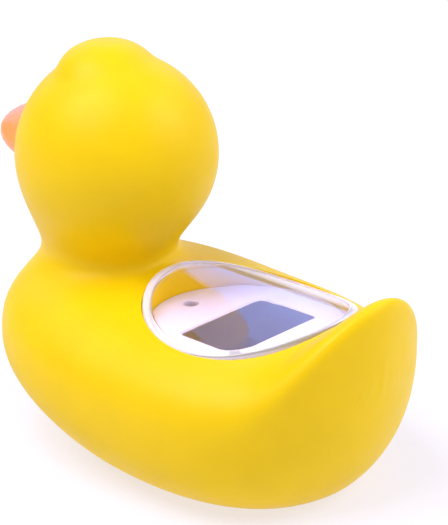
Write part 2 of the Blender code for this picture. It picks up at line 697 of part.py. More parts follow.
def duck_body(root):
    """The moulded body with its display well, base opening, screw bosses and face sockets."""
    body = lofted("duck_body", duck_loops(SKIN_FACETS, 0.0), YELLOW, root)
    cut(body, ground_block("ground", 0.0, root))
    cut(body, duck_hollow(root))
    cut(body, window_seat(root))
    bore = [window_oval(z, -SEAT_WIDTH) for z in (LEDGE_TOP, ABOVE_WINDOW)]
    cut(body, lofted("well_bore", bore, None, root))
    throat_inset = SEAT_WIDTH + LEDGE_WIDTH
    throat = [window_oval(z, -throat_inset) for z in (LEDGE_BOTTOM - CUT_PAST, LEDGE_TOP + CUT_PAST)]
    cut(body, lofted("well_throat", throat, None, root))
    rebate = [base_oval(z, GAP) for z in (-CUT_PAST, BASE_LEDGE_BOTTOM)]
    cut(body, lofted("base_rebate", rebate, None, root))
    opening = [base_oval(z, -BASE_LEDGE_WIDTH) for z in (0.0, BASE_LEDGE_TOP + CUT_PAST)]
    cut(body, lofted("base_opening", opening, None, root))
    pilot_top = BASE_SCREW_SEAT + LARGE_LENGTH + GAP
    pilot = [(LARGE_SHANK + GAP, 0.0), (LARGE_SHANK + GAP, pilot_top)]
    for i, (x, y) in enumerate(base_screw_places()):
        cut(body, turned(f"pilot_{i + 1}", pilot, None, root, x, y, FACETS["small"]))
    socket_profile = [(EYE_RADIUS + GAP, -EYE_SOCKET_DEPTH), (EYE_RADIUS + GAP, EYE_RADIUS)]
    for i, (spot, outward) in enumerate(eye_places()):
        socket = turned(f"eye_socket_{i + 1}", socket_profile, None, root)
        face_outward(socket, spot, outward)
        cut(body, socket)
    radius = BILL_PEG_RADIUS + GAP
    reach = [(radius, 0.5 * HEAD_RADIUS), (radius, HEAD_RADIUS + CUT_PAST)]
    cut(body, bill_peg("bill_socket", reach, root))
    return body


def face_outward(thing, spot, outward):
    """Set a turned piece on the head with its middle line along a direction."""
    thing.location = spot
    thing.rotation_mode = "QUATERNION"
    thing.rotation_quaternion = outward.to_track_quat("Z", "Y")


def bill_peg(name, reach, root):
    """A round peg from the head's middle towards the face."""
    peg = turned(name, reach, None, root)
    peg.location = (0.0, HEAD_Y, HEAD_Z + BILL_UPPER_MID)
    peg.rotation_euler.x = 0.5 * pi
    return peg


def mandible(name, length, middle, half_height, upturn, material, root):
    """One half of the bill: flat rounded rings that narrow to the tip."""
    loops = []
    rings = FACETS["bill rings"]
    turns = [2.0 * pi * k / FACETS["bill"] for k in range(FACETS["bill"])]
    for i in range(rings):
        share = sin(0.5 * pi * i / rings)
        y = HEAD_Y - BILL_ROOT - (length - BILL_ROOT) * share
        width = BILL_HALF_WIDTH * sqrt(1.0 - share ** BILL_PLAN_POWER)
        height = half_height * sqrt(1.0 - share ** BILL_SIDE_POWER) * (1.0 - BILL_TIP_THINNING * share)
        z = HEAD_Z + middle + upturn * share ** 2
        loops.append([Vector((width * cos(t), y, z + height * sin(t))) for t in turns])
    loops.append([Vector((0.0, HEAD_Y - length, HEAD_Z + middle + upturn))])
    return lofted(name, loops, material, root)


def bill(root):
    """The bill, hollowed to sit on the face, with a peg into the head."""
    upper = mandible("bill", BILL_LENGTH, BILL_UPPER_MID, BILL_UPPER_HALF, BILL_UPTURN, ORANGE, root)
    lower_length = BILL_LENGTH - BILL_LOWER_SHORTER
    join(upper, mandible("lower_bill", lower_length, BILL_LOWER_MID, BILL_LOWER_HALF, 0.0, None, root))
    cut(upper, lofted("face_form", duck_loops(SKIN_FACETS, GAP), None, root))
    reach = [(BILL_PEG_RADIUS, HEAD_RADIUS - WALL), (BILL_PEG_RADIUS, HEAD_RADIUS + 3.0 * MM)]
    join(upper, bill_peg("bill_peg", reach, root))
    return upper


def eyes(root):
    """Two glossy domes in their sockets."""
    bottom = GAP - EYE_SOCKET_DEPTH
    profile = [(0.0, bottom), (EYE_RADIUS, bottom)]
    profile += dome(EYE_RADIUS, EYE_PROUD + EYE_EDGE_SUNK, -EYE_EDGE_SUNK)
    for name, (spot, outward) in zip(("left_eye", "right_eye"), eye_places()):
        face_outward(turned(name, profile, BLACK, root), spot, outward)


def lens_and_seal(root):
    """The clear bent window with its raised bevelled rim, and the seal that it lies on."""
    seal_bottom = GAP - SEAT_DEPTH
    seal_top = seal_bottom + SEAL_THICKNESS
    inner = 2.0 * GAP - SEAT_WIDTH
    steps = [(inner, seal_bottom), (0.0, seal_bottom), (0.0, seal_top), (inner, seal_top)]
    lofted("lens_seal", [bent_oval(z, o) for o, z in steps], MILKY, root, ring=True)
    bottom = seal_top + GAP
    underside = bottom + LENS_STEP
    field = LENS_PROUD - LENS_FIELD_SUNK
    field_edge = -LENS_RIM_WIDTH - LENS_FIELD_SUNK
    rings = [(underside, field_edge, 0.5), (underside, field_edge, 1.0), (bottom, -LENS_RIM_WIDTH, 1.0)]
    rings += [(bottom, 0.0, 1.0), (LENS_PROUD - LENS_BEVEL, 0.0, 1.0)]
    rings += [(LENS_PROUD - 0.3 * LENS_BEVEL, -0.3 * LENS_BEVEL, 1.0), (LENS_PROUD, -LENS_BEVEL, 1.0)]
    rings += [(LENS_PROUD, -LENS_RIM_WIDTH, 1.0), (field, field_edge, 1.0), (field, field_edge, 0.5)]
    loops = [[Vector((0.0, 0.0, WINDOW_Z + underside))]]
    loops += [bent_oval(*ring) for ring in rings]
    loops.append([Vector((0.0, 0.0, WINDOW_Z + field))])
    lofted("window_lens", loops, CLEAR, root)


def face_plate(root):
    """The white plate with its display opening, light hole and four screw posts."""
    edge = -SEAT_WIDTH - GAP
    bevel = 0.3 * MM
    steps = [(edge, PLATE_BOTTOM), (edge, PLATE_TOP - bevel), (edge - bevel, PLATE_TOP)]
    plate = lofted("face_plate", [window_oval(z, o) for o, z in steps], WHITE, root)
    low = PLATE_BOTTOM - CUT_PAST
    size = (LCD_WIDTH, LCD_LENGTH, LCD_WINDOW_CORNER)
    loops = [rounded_rectangle(*size, z) for z in (low, PLATE_BOTTOM + GAP)]
    grow = LCD_WINDOW_BEVEL * (PLATE_THICKNESS + CUT_PAST) / PLATE_THICKNESS
    wide = (LCD_WIDTH + 2 * grow, LCD_LENGTH + 2 * grow, LCD_WINDOW_CORNER + grow)
    loops.append(rounded_rectangle(*wide, PLATE_TOP + CUT_PAST))
    cut(plate, lofted("lcd_opening", loops, None, root))
    hole = [(LED_HOLE_RADIUS, low), (LED_HOLE_RADIUS, PLATE_TOP + CUT_PAST)]
    cut(plate, turned("light_hole", hole, None, root, 0.0, LED_Y))
    for i, (x, y) in enumerate(post_places()):
        post = [(POST_RADIUS, BOARD_TOP + GAP), (POST_RADIUS, PLATE_BOTTOM + 0.5 * MM)]
        join(plate, turned(f"post_{i + 1}", post, None, root, x, y, FACETS["small"]))
        top = BOARD_BOTTOM - GAP + SMALL_LENGTH
        pilot = [(SMALL_SHANK + GAP, BOARD_TOP - CUT_PAST), (SMALL_SHANK + GAP, top)]
        cut(plate, turned(f"post_pilot_{i + 1}", pilot, None, root, x, y, FACETS["small"]))
    return plate


def display_module(root):
    """Glass, rubber contact strips, alert light, circuit board, chip and board screws."""
    half_width = 0.5 * LCD_WIDTH + LCD_RIM
    half_length = LCD_EDGE + LCD_RIM
    low = (-half_width, -half_length, LCD_BOTTOM)
    box("lcd_panel", low, (half_width, half_length, LCD_TOP), GLASS, root)
    strip_half = half_width - 1.0 * MM
    for name, side in (("front_contact_strip", -1), ("rear_contact_strip", 1)):
        middle = side * (half_length - STRIP_WIDTH)
        low = (-strip_half, middle - 0.5 * STRIP_WIDTH, BOARD_TOP + GAP)
        high = (strip_half, middle + 0.5 * STRIP_WIDTH, LCD_BOTTOM - GAP)
        box(name, low, high, RUBBER, root)
    base = BOARD_TOP + GAP
    flange = LED_RADIUS + 0.3 * MM
    flange_top = base + 0.8 * MM
    shoulder = PLATE_TOP - LED_BELOW_PLATE - LED_RADIUS
    lamp = [(0.0, base), (flange, base), (flange, flange_top), (LED_RADIUS, flange_top)]
    lamp += dome(LED_RADIUS, LED_RADIUS, shoulder)
    turned("alert_light", lamp, SMOKED, root, 0.0, LED_Y, FACETS["small"])
    edge = -SEAT_WIDTH - 2.0 * GAP
    board = lofted("circuit_board", [window_oval(z, edge) for z in (BOARD_BOTTOM, BOARD_TOP)], GREEN, root)
    hole = [(SMALL_SHANK + GAP, BOARD_BOTTOM - CUT_PAST), (SMALL_SHANK + GAP, BOARD_TOP + CUT_PAST)]
    size = (SMALL_SHANK, SMALL_HEAD, SMALL_HEAD_HEIGHT, SMALL_LENGTH - GAP)
    for i, (x, y) in enumerate(post_places()):
        cut(board, turned(f"board_hole_{i + 1}", hole, None, root, x, y, FACETS["small"]))
        pan_screw(f"board_screw_{i + 1}", *size, BOARD_BOTTOM, x, y, STEEL, root)
    drop = upside_down(dome(CHIP_RADIUS, CHIP_HEIGHT, CHIP_TOP), CHIP_TOP) + [(0.0, CHIP_TOP)]
    turned("controller_chip", drop, EPOXY, root, 0.0, CHIP_Y)


def tangent_angle(large, small, reach):
    """Half angle of the common tangents of two circles, from the line between their middles."""
    return atan2(sqrt(reach ** 2 - (large - small) ** 2), large - small)


def stadium(z, offset=0.0):
    """The hatch's outline: a disc with one round ear behind it."""
    loop = []
    spread = tangent_angle(HATCH_RADIUS, HATCH_EAR_RADIUS, EAR_BEHIND_CELL)
    arcs = [(HATCH_RADIUS, CELL_Y, spread, 2.0 * pi - spread, FACETS["round"])]
    arcs.append((HATCH_EAR_RADIUS, EAR_Y, -spread, spread, FACETS["small"]))
    for radius, middle_y, start, end, count in arcs:
        for i in range(count + 1):
            t = 0.5 * pi + start + (end - start) * i / count
            reach = radius + offset
            loop.append(Vector((reach * cos(t), middle_y + reach * sin(t), z)))
    return loop


def base_plate(root):
    """The plate that closes the underside, with the battery cup moulded on."""
    plate = lofted("base_plate", [base_oval(z) for z in (BASE_BOTTOM, BASE_TOP)], YELLOW, root)
    frame = [(FRAME_RADIUS, BASE_BOTTOM + GAP), (FRAME_RADIUS, FRAME_TOP)]
    join(plate, turned("hatch_frame", frame, None, root, 0.0, CELL_Y))
    cup_outside = CUP_RADIUS + CUP_WALL
    cup = [(cup_outside, BASE_BOTTOM + 2 * GAP), (cup_outside, CUP_TOP)]
    join(plate, turned("battery_cup", cup, None, root, 0.0, CELL_Y))
    boss = [(BOSS_RADIUS, BASE_BOTTOM + 3 * GAP), (BOSS_RADIUS, HATCH_BOSS_TOP)]
    join(plate, turned("hatch_boss", boss, None, root, 0.0, EAR_Y, FACETS["small"]))
    cut(plate, lofted("hatch_recess", [stadium(z, GAP) for z in (0.0, HATCH_SEAT)], None, root))
    half = 0.5 * HATCH_TONGUE_WIDTH + GAP
    slot_front = CELL_Y - HATCH_RADIUS - HATCH_TONGUE_REACH - GAP
    slot_low = (-half, slot_front, HATCH_TOP - HATCH_TONGUE_THICKNESS - GAP)
    slot_high = (half, CELL_Y - CUP_RADIUS - CUT_PAST, HATCH_SEAT)
    cut(plate, box("tongue_slot", slot_low, slot_high, None, root))
    cup_space = [(CUP_RADIUS, 0.0), (CUP_RADIUS, CUP_CEILING)]
    cut(plate, turned("cup_space", cup_space, None, root, 0.0, CELL_Y))
    pilot_radius = LARGE_SHANK + GAP
    pilot = [(pilot_radius, 0.0), (pilot_radius, HATCH_SCREW_SEAT + HATCH_SCREW_LENGTH + GAP)]
    cut(plate, turned("hatch_pilot", pilot, None, root, 0.0, EAR_Y, FACETS["small"]))
    screw_hole = stepped_hole(LARGE_HEAD, LARGE_SHANK, BASE_SCREW_SEAT)
    for i, (x, y) in enumerate(base_screw_places()):
        cut(plate, turned(f"base_hole_{i + 1}", screw_hole, None, root, x, y, FACETS["small"]))
    sensor = [(SENSOR_RADIUS + GAP, 0.0), (SENSOR_RADIUS + GAP, BASE_TOP + CUT_PAST)]
    cut(plate, turned("sensor_hole", sensor, None, root, 0.0, SENSOR_Y))
    recess = BASE_BOTTOM + PROBE_SUNK + PROBE_HEAD_HEIGHT + GAP
    probe_hole = stepped_hole(PROBE_HEAD, PROBE_RADIUS, recess)
    for i, side in enumerate((1, -1)):
        x = side * PROBE_X
        cut(plate, turned(f"probe_hole_{i + 1}", probe_hole, None, root, x, PROBE_Y, FACETS["small"]))
    for name, (low, high) in contact_slots().items():
        cut(plate, box(name, low, high, None, root))
    return plate


def stepped_hole(head, shank, seat):
    """Profile of a hole through the base, wide below a seat and narrow above it."""
    wide = [(head + GAP, 0.0), (head + GAP, seat)]
    return wide + [(shank + GAP, seat), (shank + GAP, BASE_TOP + CUT_PAST)]


def contact_slots():
    """Slots in the cup for the solder tabs and the side spring of the battery contacts."""
    half = 0.5 * CONTACT_WIDTH + GAP
    sheet = CONTACT_SHEET + 2.0 * GAP
    rear = CELL_Y + CUP_RADIUS
    top = CUP_TOP + CUT_PAST
    return {
        "side_slot": ((-half, rear - CUT_PAST, CELL_BOTTOM), (half, rear + sheet - GAP, top)),
        "middle_slot": ((-half, CELL_Y - sheet, CELL_TOP), (half, CELL_Y, top)),
    }


def strip(name, path, width, sheet, material, root):
    """A bent metal strip: a path in the YZ plane thickened by the sheet and given a width."""
    offsets = []
    for i, point in enumerate(path):
        before = path[max(i - 1, 0)]
        after = path[min(i + 1, len(path) - 1)]
        arrive = Vector((point[0] - before[0], point[1] - before[1]))
        leave = Vector((after[0] - point[0], after[1] - point[1]))
        arrive = arrive.normalized() if arrive.length else leave.normalized()
        leave = leave.normalized() if leave.length else arrive
        normal = Vector((-(arrive + leave).y, (arrive + leave).x)).normalized()
        offsets.append(normal * sheet / max(normal.dot(Vector((-arrive.y, arrive.x))), 0.5))
    near = [Vector(point) for point in path]
    far = [a + b for a, b in zip(near, offsets)]
    outline = near + far[::-1]
    loops = [[Vector((x, p.x, p.y)) for p in outline] for x in (-0.5 * width, 0.5 * width)]
    return lofted(name, loops, material, root)


def battery_parts(root):
    """Coin cell, its two contacts, the hatch with its tongue and the hatch screw."""
    step = CELL_RADIUS - CELL_STEP
    cell = [(0.0, CELL_BOTTOM), (CELL_RADIUS - CELL_EDGE, CELL_BOTTOM)]
    cell += [(CELL_RADIUS, CELL_BOTTOM + CELL_EDGE), (CELL_RADIUS, CELL_TOP - 1.5 * CELL_EDGE)]
    cell += [(step, CELL_TOP - 0.5 * CELL_EDGE), (step - CELL_EDGE, CELL_TOP), (0.0, CELL_TOP)]
    turned("coin_cell", cell, NICKEL, root, 0.0, CELL_Y)
    tab_top = CUP_TOP + CONTACT_TAB_RISE
    level = CELL_TOP + GAP
    middle_tab = CELL_Y - GAP - CONTACT_SHEET
    path = [(middle_tab, tab_top), (middle_tab, level), (CELL_Y + 0.7 * CELL_RADIUS, level)]
    strip("negative_contact", path, CONTACT_WIDTH, CONTACT_SHEET, NICKEL, root)
    side_y = CELL_Y + CUP_RADIUS - GAP
    low = (-0.5 * CONTACT_WIDTH, side_y, CELL_BOTTOM + GAP)
    high = (0.5 * CONTACT_WIDTH, side_y + CONTACT_SHEET, tab_top)
    box("positive_contact", low, high, NICKEL, root)
    hatch = lofted("battery_hatch", [stadium(z) for z in (BASE_BOTTOM, HATCH_TOP)], YELLOW, root)
    half = 0.5 * HATCH_TONGUE_WIDTH
    front = CELL_Y - HATCH_RADIUS - HATCH_TONGUE_REACH
    low = (-half, front, HATCH_TOP - HATCH_TONGUE_THICKNESS)
    high = (half, front + 2.0 * HATCH_TONGUE_REACH, HATCH_TOP)
    join(hatch, box("hatch_tongue", low, high, None, root))
    hole = stepped_hole(LARGE_HEAD, LARGE_SHANK, HATCH_SCREW_SEAT)
    cut(hatch, turned("hatch_hole", hole, None, root, 0.0, EAR_Y, FACETS["small"]))
    size = (LARGE_SHANK, LARGE_HEAD, LARGE_HEAD_HEIGHT, HATCH_SCREW_LENGTH)
    pan_screw("hatch_screw", *size, HATCH_SCREW_SEAT, 0.0, EAR_Y, STEEL, root)


def sensor_parts(root):
    """Steel sensor cap with its bead, and the two water contacts."""
    bottom = 0.5 * BASE_BOTTOM
    flange = BASE_TOP + GAP
    inner = SENSOR_RADIUS - SENSOR_WALL
    top = bottom + SENSOR_HEIGHT
    edge = 0.5 * MM
    cap = [(0.0, bottom), (SENSOR_RADIUS - edge, bottom), (SENSOR_RADIUS, bottom + edge)]
    cap += [(SENSOR_RADIUS, flange), (SENSOR_FLANGE, flange), (SENSOR_FLANGE, flange + SENSOR_WALL)]
    cap += [(SENSOR_RADIUS, flange + SENSOR_WALL), (SENSOR_RADIUS, top), (inner, top)]
    cap += [(inner, bottom + SENSOR_WALL), (0.0, bottom + SENSOR_WALL)]
    turned("sensor_cap", cap, STEEL, root, 0.0, SENSOR_Y)
    bead_z = bottom + SENSOR_WALL + GAP + BEAD_RADIUS
    upper = dome(BEAD_RADIUS, BEAD_RADIUS, bead_z, 3)
    bead = upside_down(upper, bead_z)[:-1] + upper
    turned("thermistor", bead, EPOXY, root, 0.0, SENSOR_Y, FACETS["small"])
    low = BASE_BOTTOM + PROBE_SUNK
    seat = low + PROBE_HEAD_HEIGHT
    stud = [(0.0, low), (0.7 * PROBE_HEAD, low), (PROBE_HEAD, low + 0.4 * PROBE_HEAD_HEIGHT)]
    stud += [(PROBE_HEAD, seat), (PROBE_RADIUS, seat)]
    stud += [(PROBE_RADIUS, low + PROBE_HEIGHT), (0.0, low + PROBE_HEIGHT)]
    for name, side in (("left_water_contact", 1), ("right_water_contact", -1)):
        turned(name, stud, STEEL, root, side * PROBE_X, PROBE_Y, FACETS["small"])


def leads(root):
    """Insulated leads from the base's contacts up to the circuit board."""
    tab_z = CUP_TOP + CONTACT_TAB_RISE + GAP
    rear_tab = (0.0, CELL_Y + CUP_RADIUS - GAP + 0.5 * CONTACT_SHEET, tab_z)
    middle_tab = (0.0, CELL_Y - GAP - 0.5 * CONTACT_SHEET, tab_z)
    routed_lead("positive_lead", [rear_tab], POSITIVE_LEAN, POSITIVE_PAD, LEAD_RADIUS, RED_LEAD, root)
    routed_lead("negative_lead", [middle_tab], NEGATIVE_LEAN, NEGATIVE_PAD, LEAD_RADIUS, BLACK_LEAD, root)
    stud_z = BASE_BOTTOM + PROBE_SUNK + PROBE_HEIGHT + GAP
    bead_z = 0.5 * BASE_BOTTOM + SENSOR_WALL + 2.0 * GAP + 2.0 * BEAD_RADIUS
    for side, water_name, sensor_name in ((1, "left_contact_lead", "sensor_lead_a"),
                                          (-1, "right_contact_lead", "sensor_lead_b")):
        lean = (side * SENSE_LEAN[0], SENSE_LEAN[1])
        pad = (side * WATER_PAD[0], WATER_PAD[1])
        stud = (side * PROBE_X, PROBE_Y, stud_z)
        routed_lead(water_name, [stud], lean, pad, LEAD_RADIUS, BLACK_LEAD, root)
        pad = (side * SENSOR_PAD[0], SENSOR_PAD[1])
        x = side * SENSOR_LEAD_X
        starts = [(x, SENSOR_Y, bead_z), (x, SENSOR_Y, bead_z + SENSOR_HEIGHT)]
        routed_lead(sensor_name, starts, lean, pad, SENSOR_LEAD_RADIUS, RED_LEAD, root)


def routed_lead(name, starts, lean, pad, radius, material, root):
    """A lead that leaves upwards, leans at half height and ends under the circuit board."""
    board_z = BOARD_BOTTOM - GAP - 0.3 * LEAD_RADIUS
    x, y = starts[-1][:2]
    bend = (x + lean[0], y + lean[1], 0.5 * (CUP_TOP + board_z))
    lead(name, starts + [bend, (*pad, board_z)], radius, material, root)


def base_seal(root):
    """The flat seal between the base plate and the body's ledge, with its screw holes."""
    low = BASE_TOP + GAP
    inner = GAP - BASE_LEDGE_WIDTH
    steps = [(inner, low), (0.0, low), (0.0, BASE_SEAL_TOP), (inner, BASE_SEAL_TOP)]
    seal = lofted("base_seal", [base_oval(z, o) for o, z in steps], RUBBER, root, ring=True)
    for i, (x, y) in enumerate(base_screw_places()):
        hole = [(LARGE_SHANK + GAP, low - CUT_PAST), (LARGE_SHANK + GAP, BASE_SEAL_TOP + CUT_PAST)]
        cut(seal, turned(f"seal_hole_{i + 1}", hole, None, root, x, y, FACETS["small"]))


def base_screws(root):
    """Four screws through the base plate into the body's bosses."""
    for i, (x, y) in enumerate(base_screw_places()):
        size = (LARGE_SHANK, LARGE_HEAD, LARGE_HEAD_HEIGHT, LARGE_LENGTH)
        pan_screw(f"base_screw_{i + 1}", *size, BASE_SCREW_SEAT, x, y, STEEL, root)


def main():
    for old in list(bpy.data.objects):
        bpy.data.objects.remove(old, do_unlink=True)
    root = tree_root()
    duck_body(root)
    bill(root)
    eyes(root)
    lens_and_seal(root)
    face_plate(root)
    display_module(root)
    base_plate(root)
    base_seal(root)
    base_screws(root)
    battery_parts(root)
    sensor_parts(root)
    leads(root)
    bpy.context.view_layer.update()


main()
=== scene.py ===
"""Looks of the floating bath thermometer: a plain yellow duck with a window over its display.

The fine forms repeat the sizes of the part's source, because this script can't read it. As there,
lengths along Y are measured from the middle of the display. Each finished piece is moved once.
"""
import json
from math import cos, pi, radians, sin, sqrt

import bmesh
import bpy
import numpy as np
from mathutils import Matrix, Vector


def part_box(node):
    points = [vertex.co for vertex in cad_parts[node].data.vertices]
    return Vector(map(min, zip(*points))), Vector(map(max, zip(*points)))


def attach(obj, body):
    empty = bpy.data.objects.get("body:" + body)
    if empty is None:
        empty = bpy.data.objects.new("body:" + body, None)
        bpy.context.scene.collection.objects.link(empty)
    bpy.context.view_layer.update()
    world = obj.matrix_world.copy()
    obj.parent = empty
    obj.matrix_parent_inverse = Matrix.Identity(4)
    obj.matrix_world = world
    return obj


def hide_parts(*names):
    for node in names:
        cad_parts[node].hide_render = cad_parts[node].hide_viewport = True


MM = 0.001
GAP = 0.3 * MM

# Facets: for the duck its rings at tail, nape and head and the points of each ring
SKIN_FACETS = ((44, 44, 48), 144)
HOLLOW_FACETS = ((10, 7, 8), 24)
FACE_FACETS = ((12, 14, 44), 96)
OVAL_FACETS = 160
ROUND_FACETS = 48
BOSS_FACETS = 24
SCREW_FACETS = 36
SCREW_EDGE_TURNS = (0.0, 0.5, 1.0, 0.5 * pi)
BILL_FACETS = 64
BILL_RINGS = 28
EYE_RINGS = 12
CORNER_STEPS = 8
EDGE_STEPS = 3
LENS_RING_SHARES = (0.25, 0.5, 0.72, 0.9)

# Search for the skin: its steps, its reach and the least values it divides by
SLOPE_STEP = 0.02 * MM
WALK_STEP = 1.0 * MM
SEARCH_BEYOND = 5.0 * MM
SEARCH_SHARE = 3.0
HALVINGS = 26
LEAST_SIZE = 1e-6
LEAST_SLOPE = 1e-9
LEAST_SKIN_SLOPE = 0.3

# Corners of a square, in two orders, and how far a cutting form reaches past what it cuts
SQUARE = ((-1, -1), (1, -1), (1, 1), (-1, 1))
QUARTERS = ((1, 1), (-1, 1), (-1, -1), (1, -1))
BEYOND = 1 * MM

# Duck body: a bent egg, as in the part's source
BODY_MID_Y = -13.1 * MM
BODY_FRONT = 63.1 * MM
BODY_REAR = 57.2 * MM
BODY_HALF_WIDTH = 40.3 * MM
BACK_HEIGHT = 21.3 * MM
BELLY_DEPTH = 27.1 * MM
PLAN_SIDE_POWER = 1.83
PLAN_END_POWER = 2.73
BACK_POWER = 2.45
BELLY_POWER = 2.35
FLAT_HALF_WIDTH = 24.6 * MM
TAIL_START_Y = 27.6 * MM
TAIL_RISE = 1.75
TAIL_BEND = 3.9 * MM
TAIL_FILL = 0.95
CHEST_START_Y = -19.0 * MM
CHEST_RISE = 0.31
CHEST_BEND = 6.0 * MM
CHEST_TOP_SHARE = 0.31
BODY_CAUTION = 0.8

# Head, neck and crown tuft
HEAD_Y = -46.1 * MM
HEAD_ABOVE_BODY = 50.9 * MM
HEAD_RADIUS = 26.3 * MM
HEAD_FILLET = 7.4 * MM
NECK_AHEAD = 5.0 * MM
NECK_BELOW_HEAD = 11.7 * MM
NECK_RADIUS = 17.6 * MM
NECK_HALF_HEIGHT = 33.8 * MM
NECK_FILLET = 11.1 * MM
NAPE_BEHIND_HEAD = 0.7 * MM
NAPE_BELOW_HEAD = 21.0 * MM
TUFT_AHEAD = 3.6 * MM
TUFT_SUNK = 4.1 * MM
TUFT_HALF_WIDTH = 12.7 * MM
TUFT_HALF_LENGTH = 11.2 * MM
TUFT_HALF_HEIGHT = 7.0 * MM
TUFT_FILLET = 2.2 * MM

# Shell, window and its seat
WALL = 2.4 * MM
WINDOW_LENGTH = 56.0 * MM
WINDOW_WIDTH = 52.0 * MM
WINDOW_ABOVE_BACK = 2.0 * MM
WINDOW_BEND = 49.7 * MM
RIM_BELOW_SEAT_LINE = 0.4 * MM
RIM_SLOPE = 0.8
RIM_DEPTH = 10.0 * MM
RIM_FILLET = 3.0 * MM
SEAT_DEPTH = 1.6 * MM
SEAT_WIDTH = 1.3 * MM
LENS_PROUD = 1.0 * MM
LENS_RIM_WIDTH = 1.9 * MM
LENS_BEVEL = 0.6 * MM
LENS_STEP = 0.5 * MM
LENS_FIELD_SUNK = 0.3 * MM
LENS_FIELD_MARGIN = 0.6 * MM
LENS_EDGE_RADIUS = 0.18 * MM
LENS_EDGE_SHARE = 0.45
LENS_TOP_BEVEL_SHARE = 0.4
LENS_THICKNESS = 2.2 * MM
ABOVE_LENS = 4.0 * MM
SEAL_THICKNESS = 0.5 * MM
WELL_WALL = 2.0 * MM
LEDGE_WIDTH = 3.0 * MM
LEDGE_THICKNESS = 2.0 * MM
PLATE_THICKNESS = 1.5 * MM

# Base opening and its bosses
BASE_Y = -3.0 * MM
BASE_WIDTH = 44.0 * MM
BASE_LENGTH = 50.26 * MM
BASE_LEDGE_WIDTH = 5.0 * MM
BASE_LEDGE_BOTTOM = 4.0 * MM
BASE_LEDGE_TOP = 6.0 * MM
BASE_SCREW_ANGLE = radians(44.0)
BOSS_RADIUS = 3.0 * MM
BOSS_TOP = 14.0 * MM
PILOT_RADIUS = 1.4 * MM
PILOT_TOP = 10.9 * MM

# Bill, fuller at its sides and top than the plain solid but no longer, and eyes
BILL_REACH = 9.1 * MM
BILL_SUNK = 8.3 * MM
BILL_HALF_WIDTH = 14.5 * MM
BILL_UPPER_MID = -0.4 * MM
BILL_UPPER_HALF = 7.4 * MM
BILL_UPTURN = 3.0 * MM
BILL_LOWER_MID = -7.4 * MM
BILL_LOWER_HALF = 3.6 * MM
BILL_LOWER_SHORTER = 4.2 * MM
BILL_LOWER_NARROWER = 2.4 * MM
BILL_PLAN_POWER = 3.2
BILL_PLAN_ROUNDNESS = 0.42
BILL_SIDE_POWER = 3.0
BILL_TIP_THINNING = 0.15
BILL_PEG_RADIUS = 4.0 * MM
BILL_PEG_MID = -2.0 * MM
BILL_PEG_END = 3.0 * MM
BILL_OFF_FACE = 0.05 * MM
EYE_TURN = radians(22.0)
EYE_LIFT = radians(16.0)
EYE_RADIUS = 3.2 * MM
EYE_SOCKET_DEPTH = 1.5 * MM
EYE_PROUD = 0.45 * MM
EYE_EDGE_SUNK = 0.25 * MM

# Display: its glass stands in a pocket behind the plate, so only a thin lip frames it
LCD_WIDTH = 31.3 * MM
LCD_LENGTH = 18.4 * MM
LCD_CORNER = 1.6 * MM
LIP_THICKNESS = 0.45 * MM
LIP_BEVEL = 0.4 * MM
GLASS_BELOW_LIP = 0.1 * MM
GLASS_BORDER = 0.3 * MM
GLASS_EDGE = 0.1 * MM
GLASS_CORNER = 0.4 * MM
PLATE_EDGE = 0.25 * MM
PLATE_EDGE_SHARE = 0.3
POST_X = 6.0 * MM
POST_Y = 13.2 * MM
POST_RADIUS = 2.0 * MM
POST_INTO_PLATE = 0.5 * MM
POST_PILOT = 1.1 * MM
POST_PILOT_DEPTH = 3.0 * MM
LIGHT_HOLE_RADIUS = 1.9 * MM
LIGHT_HOLE_BEVEL = 0.2 * MM

# Screws: shares of the head's radius, then the recess and the thread
SHANK_SHARE = 0.55
HEAD_HEIGHT_SHARE = 0.55
HEAD_EDGE_SHARE = 0.25
RECESS_SHARE = 0.55
RECESS_WIDTH = 0.55 * MM
RECESS_DEPTH = 0.7 * MM
THREAD_PITCH = 0.8 * MM
THREAD_DEPTH = 0.18 * MM
THREAD_END_SHARE = 0.8

# Finishes: noise taken as lowest and highest, sizes of clouds and lines, and shares of change
NOISE_LOW = 0.3
NOISE_HIGH = 0.7
MOULDED_CLOUDS = 14 * MM
MOULDED_GLOSS_CLOUDS = 5 * MM
MOULDED_COLORS = (0.97, 1.02)
MOULDED_GLOSS_SHARE = 0.12
BRUSHED_CLOUDS = 3 * MM
BRUSHED_LINES = 0.12 * MM
BRUSHED_ALONG = 0.06
BRUSHED_COLORS = (0.92, 1.04)
BRUSHED_GLOSS_SHARE = 0.3
BRUSHED_HEIGHT = 0.004 * MM

# Clear window, then how clear its milky rim is and where that fades, in rim widths from the edge;
# the milky rim is a painted reflection in place of the clear rim's glints
CLEAR_COLOR = (0.94, 0.88, 0.96)
CLEAR_ROUGHNESS = 0.02
CLEAR_GLOSS_CLOUDS = 9 * MM
CLEAR_GLOSS_CHANGE = 0.008
CLEAR_INDEX = 1.49
CLEAR_SHADOW = (0.93, 0.92, 0.97, 1.0)
PAINTED_GLINT_RIM_CLEARNESS = 0.55
RIM_FADE_START = 1.1
RIM_FADE_END = 0.9
RIM_FADE_HEIGHT = 1e3

# Floor, the strength of the white surroundings, and where between level and upright it changes
FLOOR_REACH = 8.0
FLOOR_COLOR = (0.30, 0.30, 0.38)
FLOOR_ROUGHNESS = 0.9
FLOOR_GRAIN = 0.05
FLOOR_GLOSS_CHANGE = 0.03
FLOOR_GLOW = 0.66
FLOOR_GLOW_COLOR = (0.99, 0.955, 1.0, 1.0)
HORIZON_LIGHT = 0.36
HORIZON_RISE = 0.1
ZENITH_LIGHT = 0.46
ZENITH_RISE = 0.75

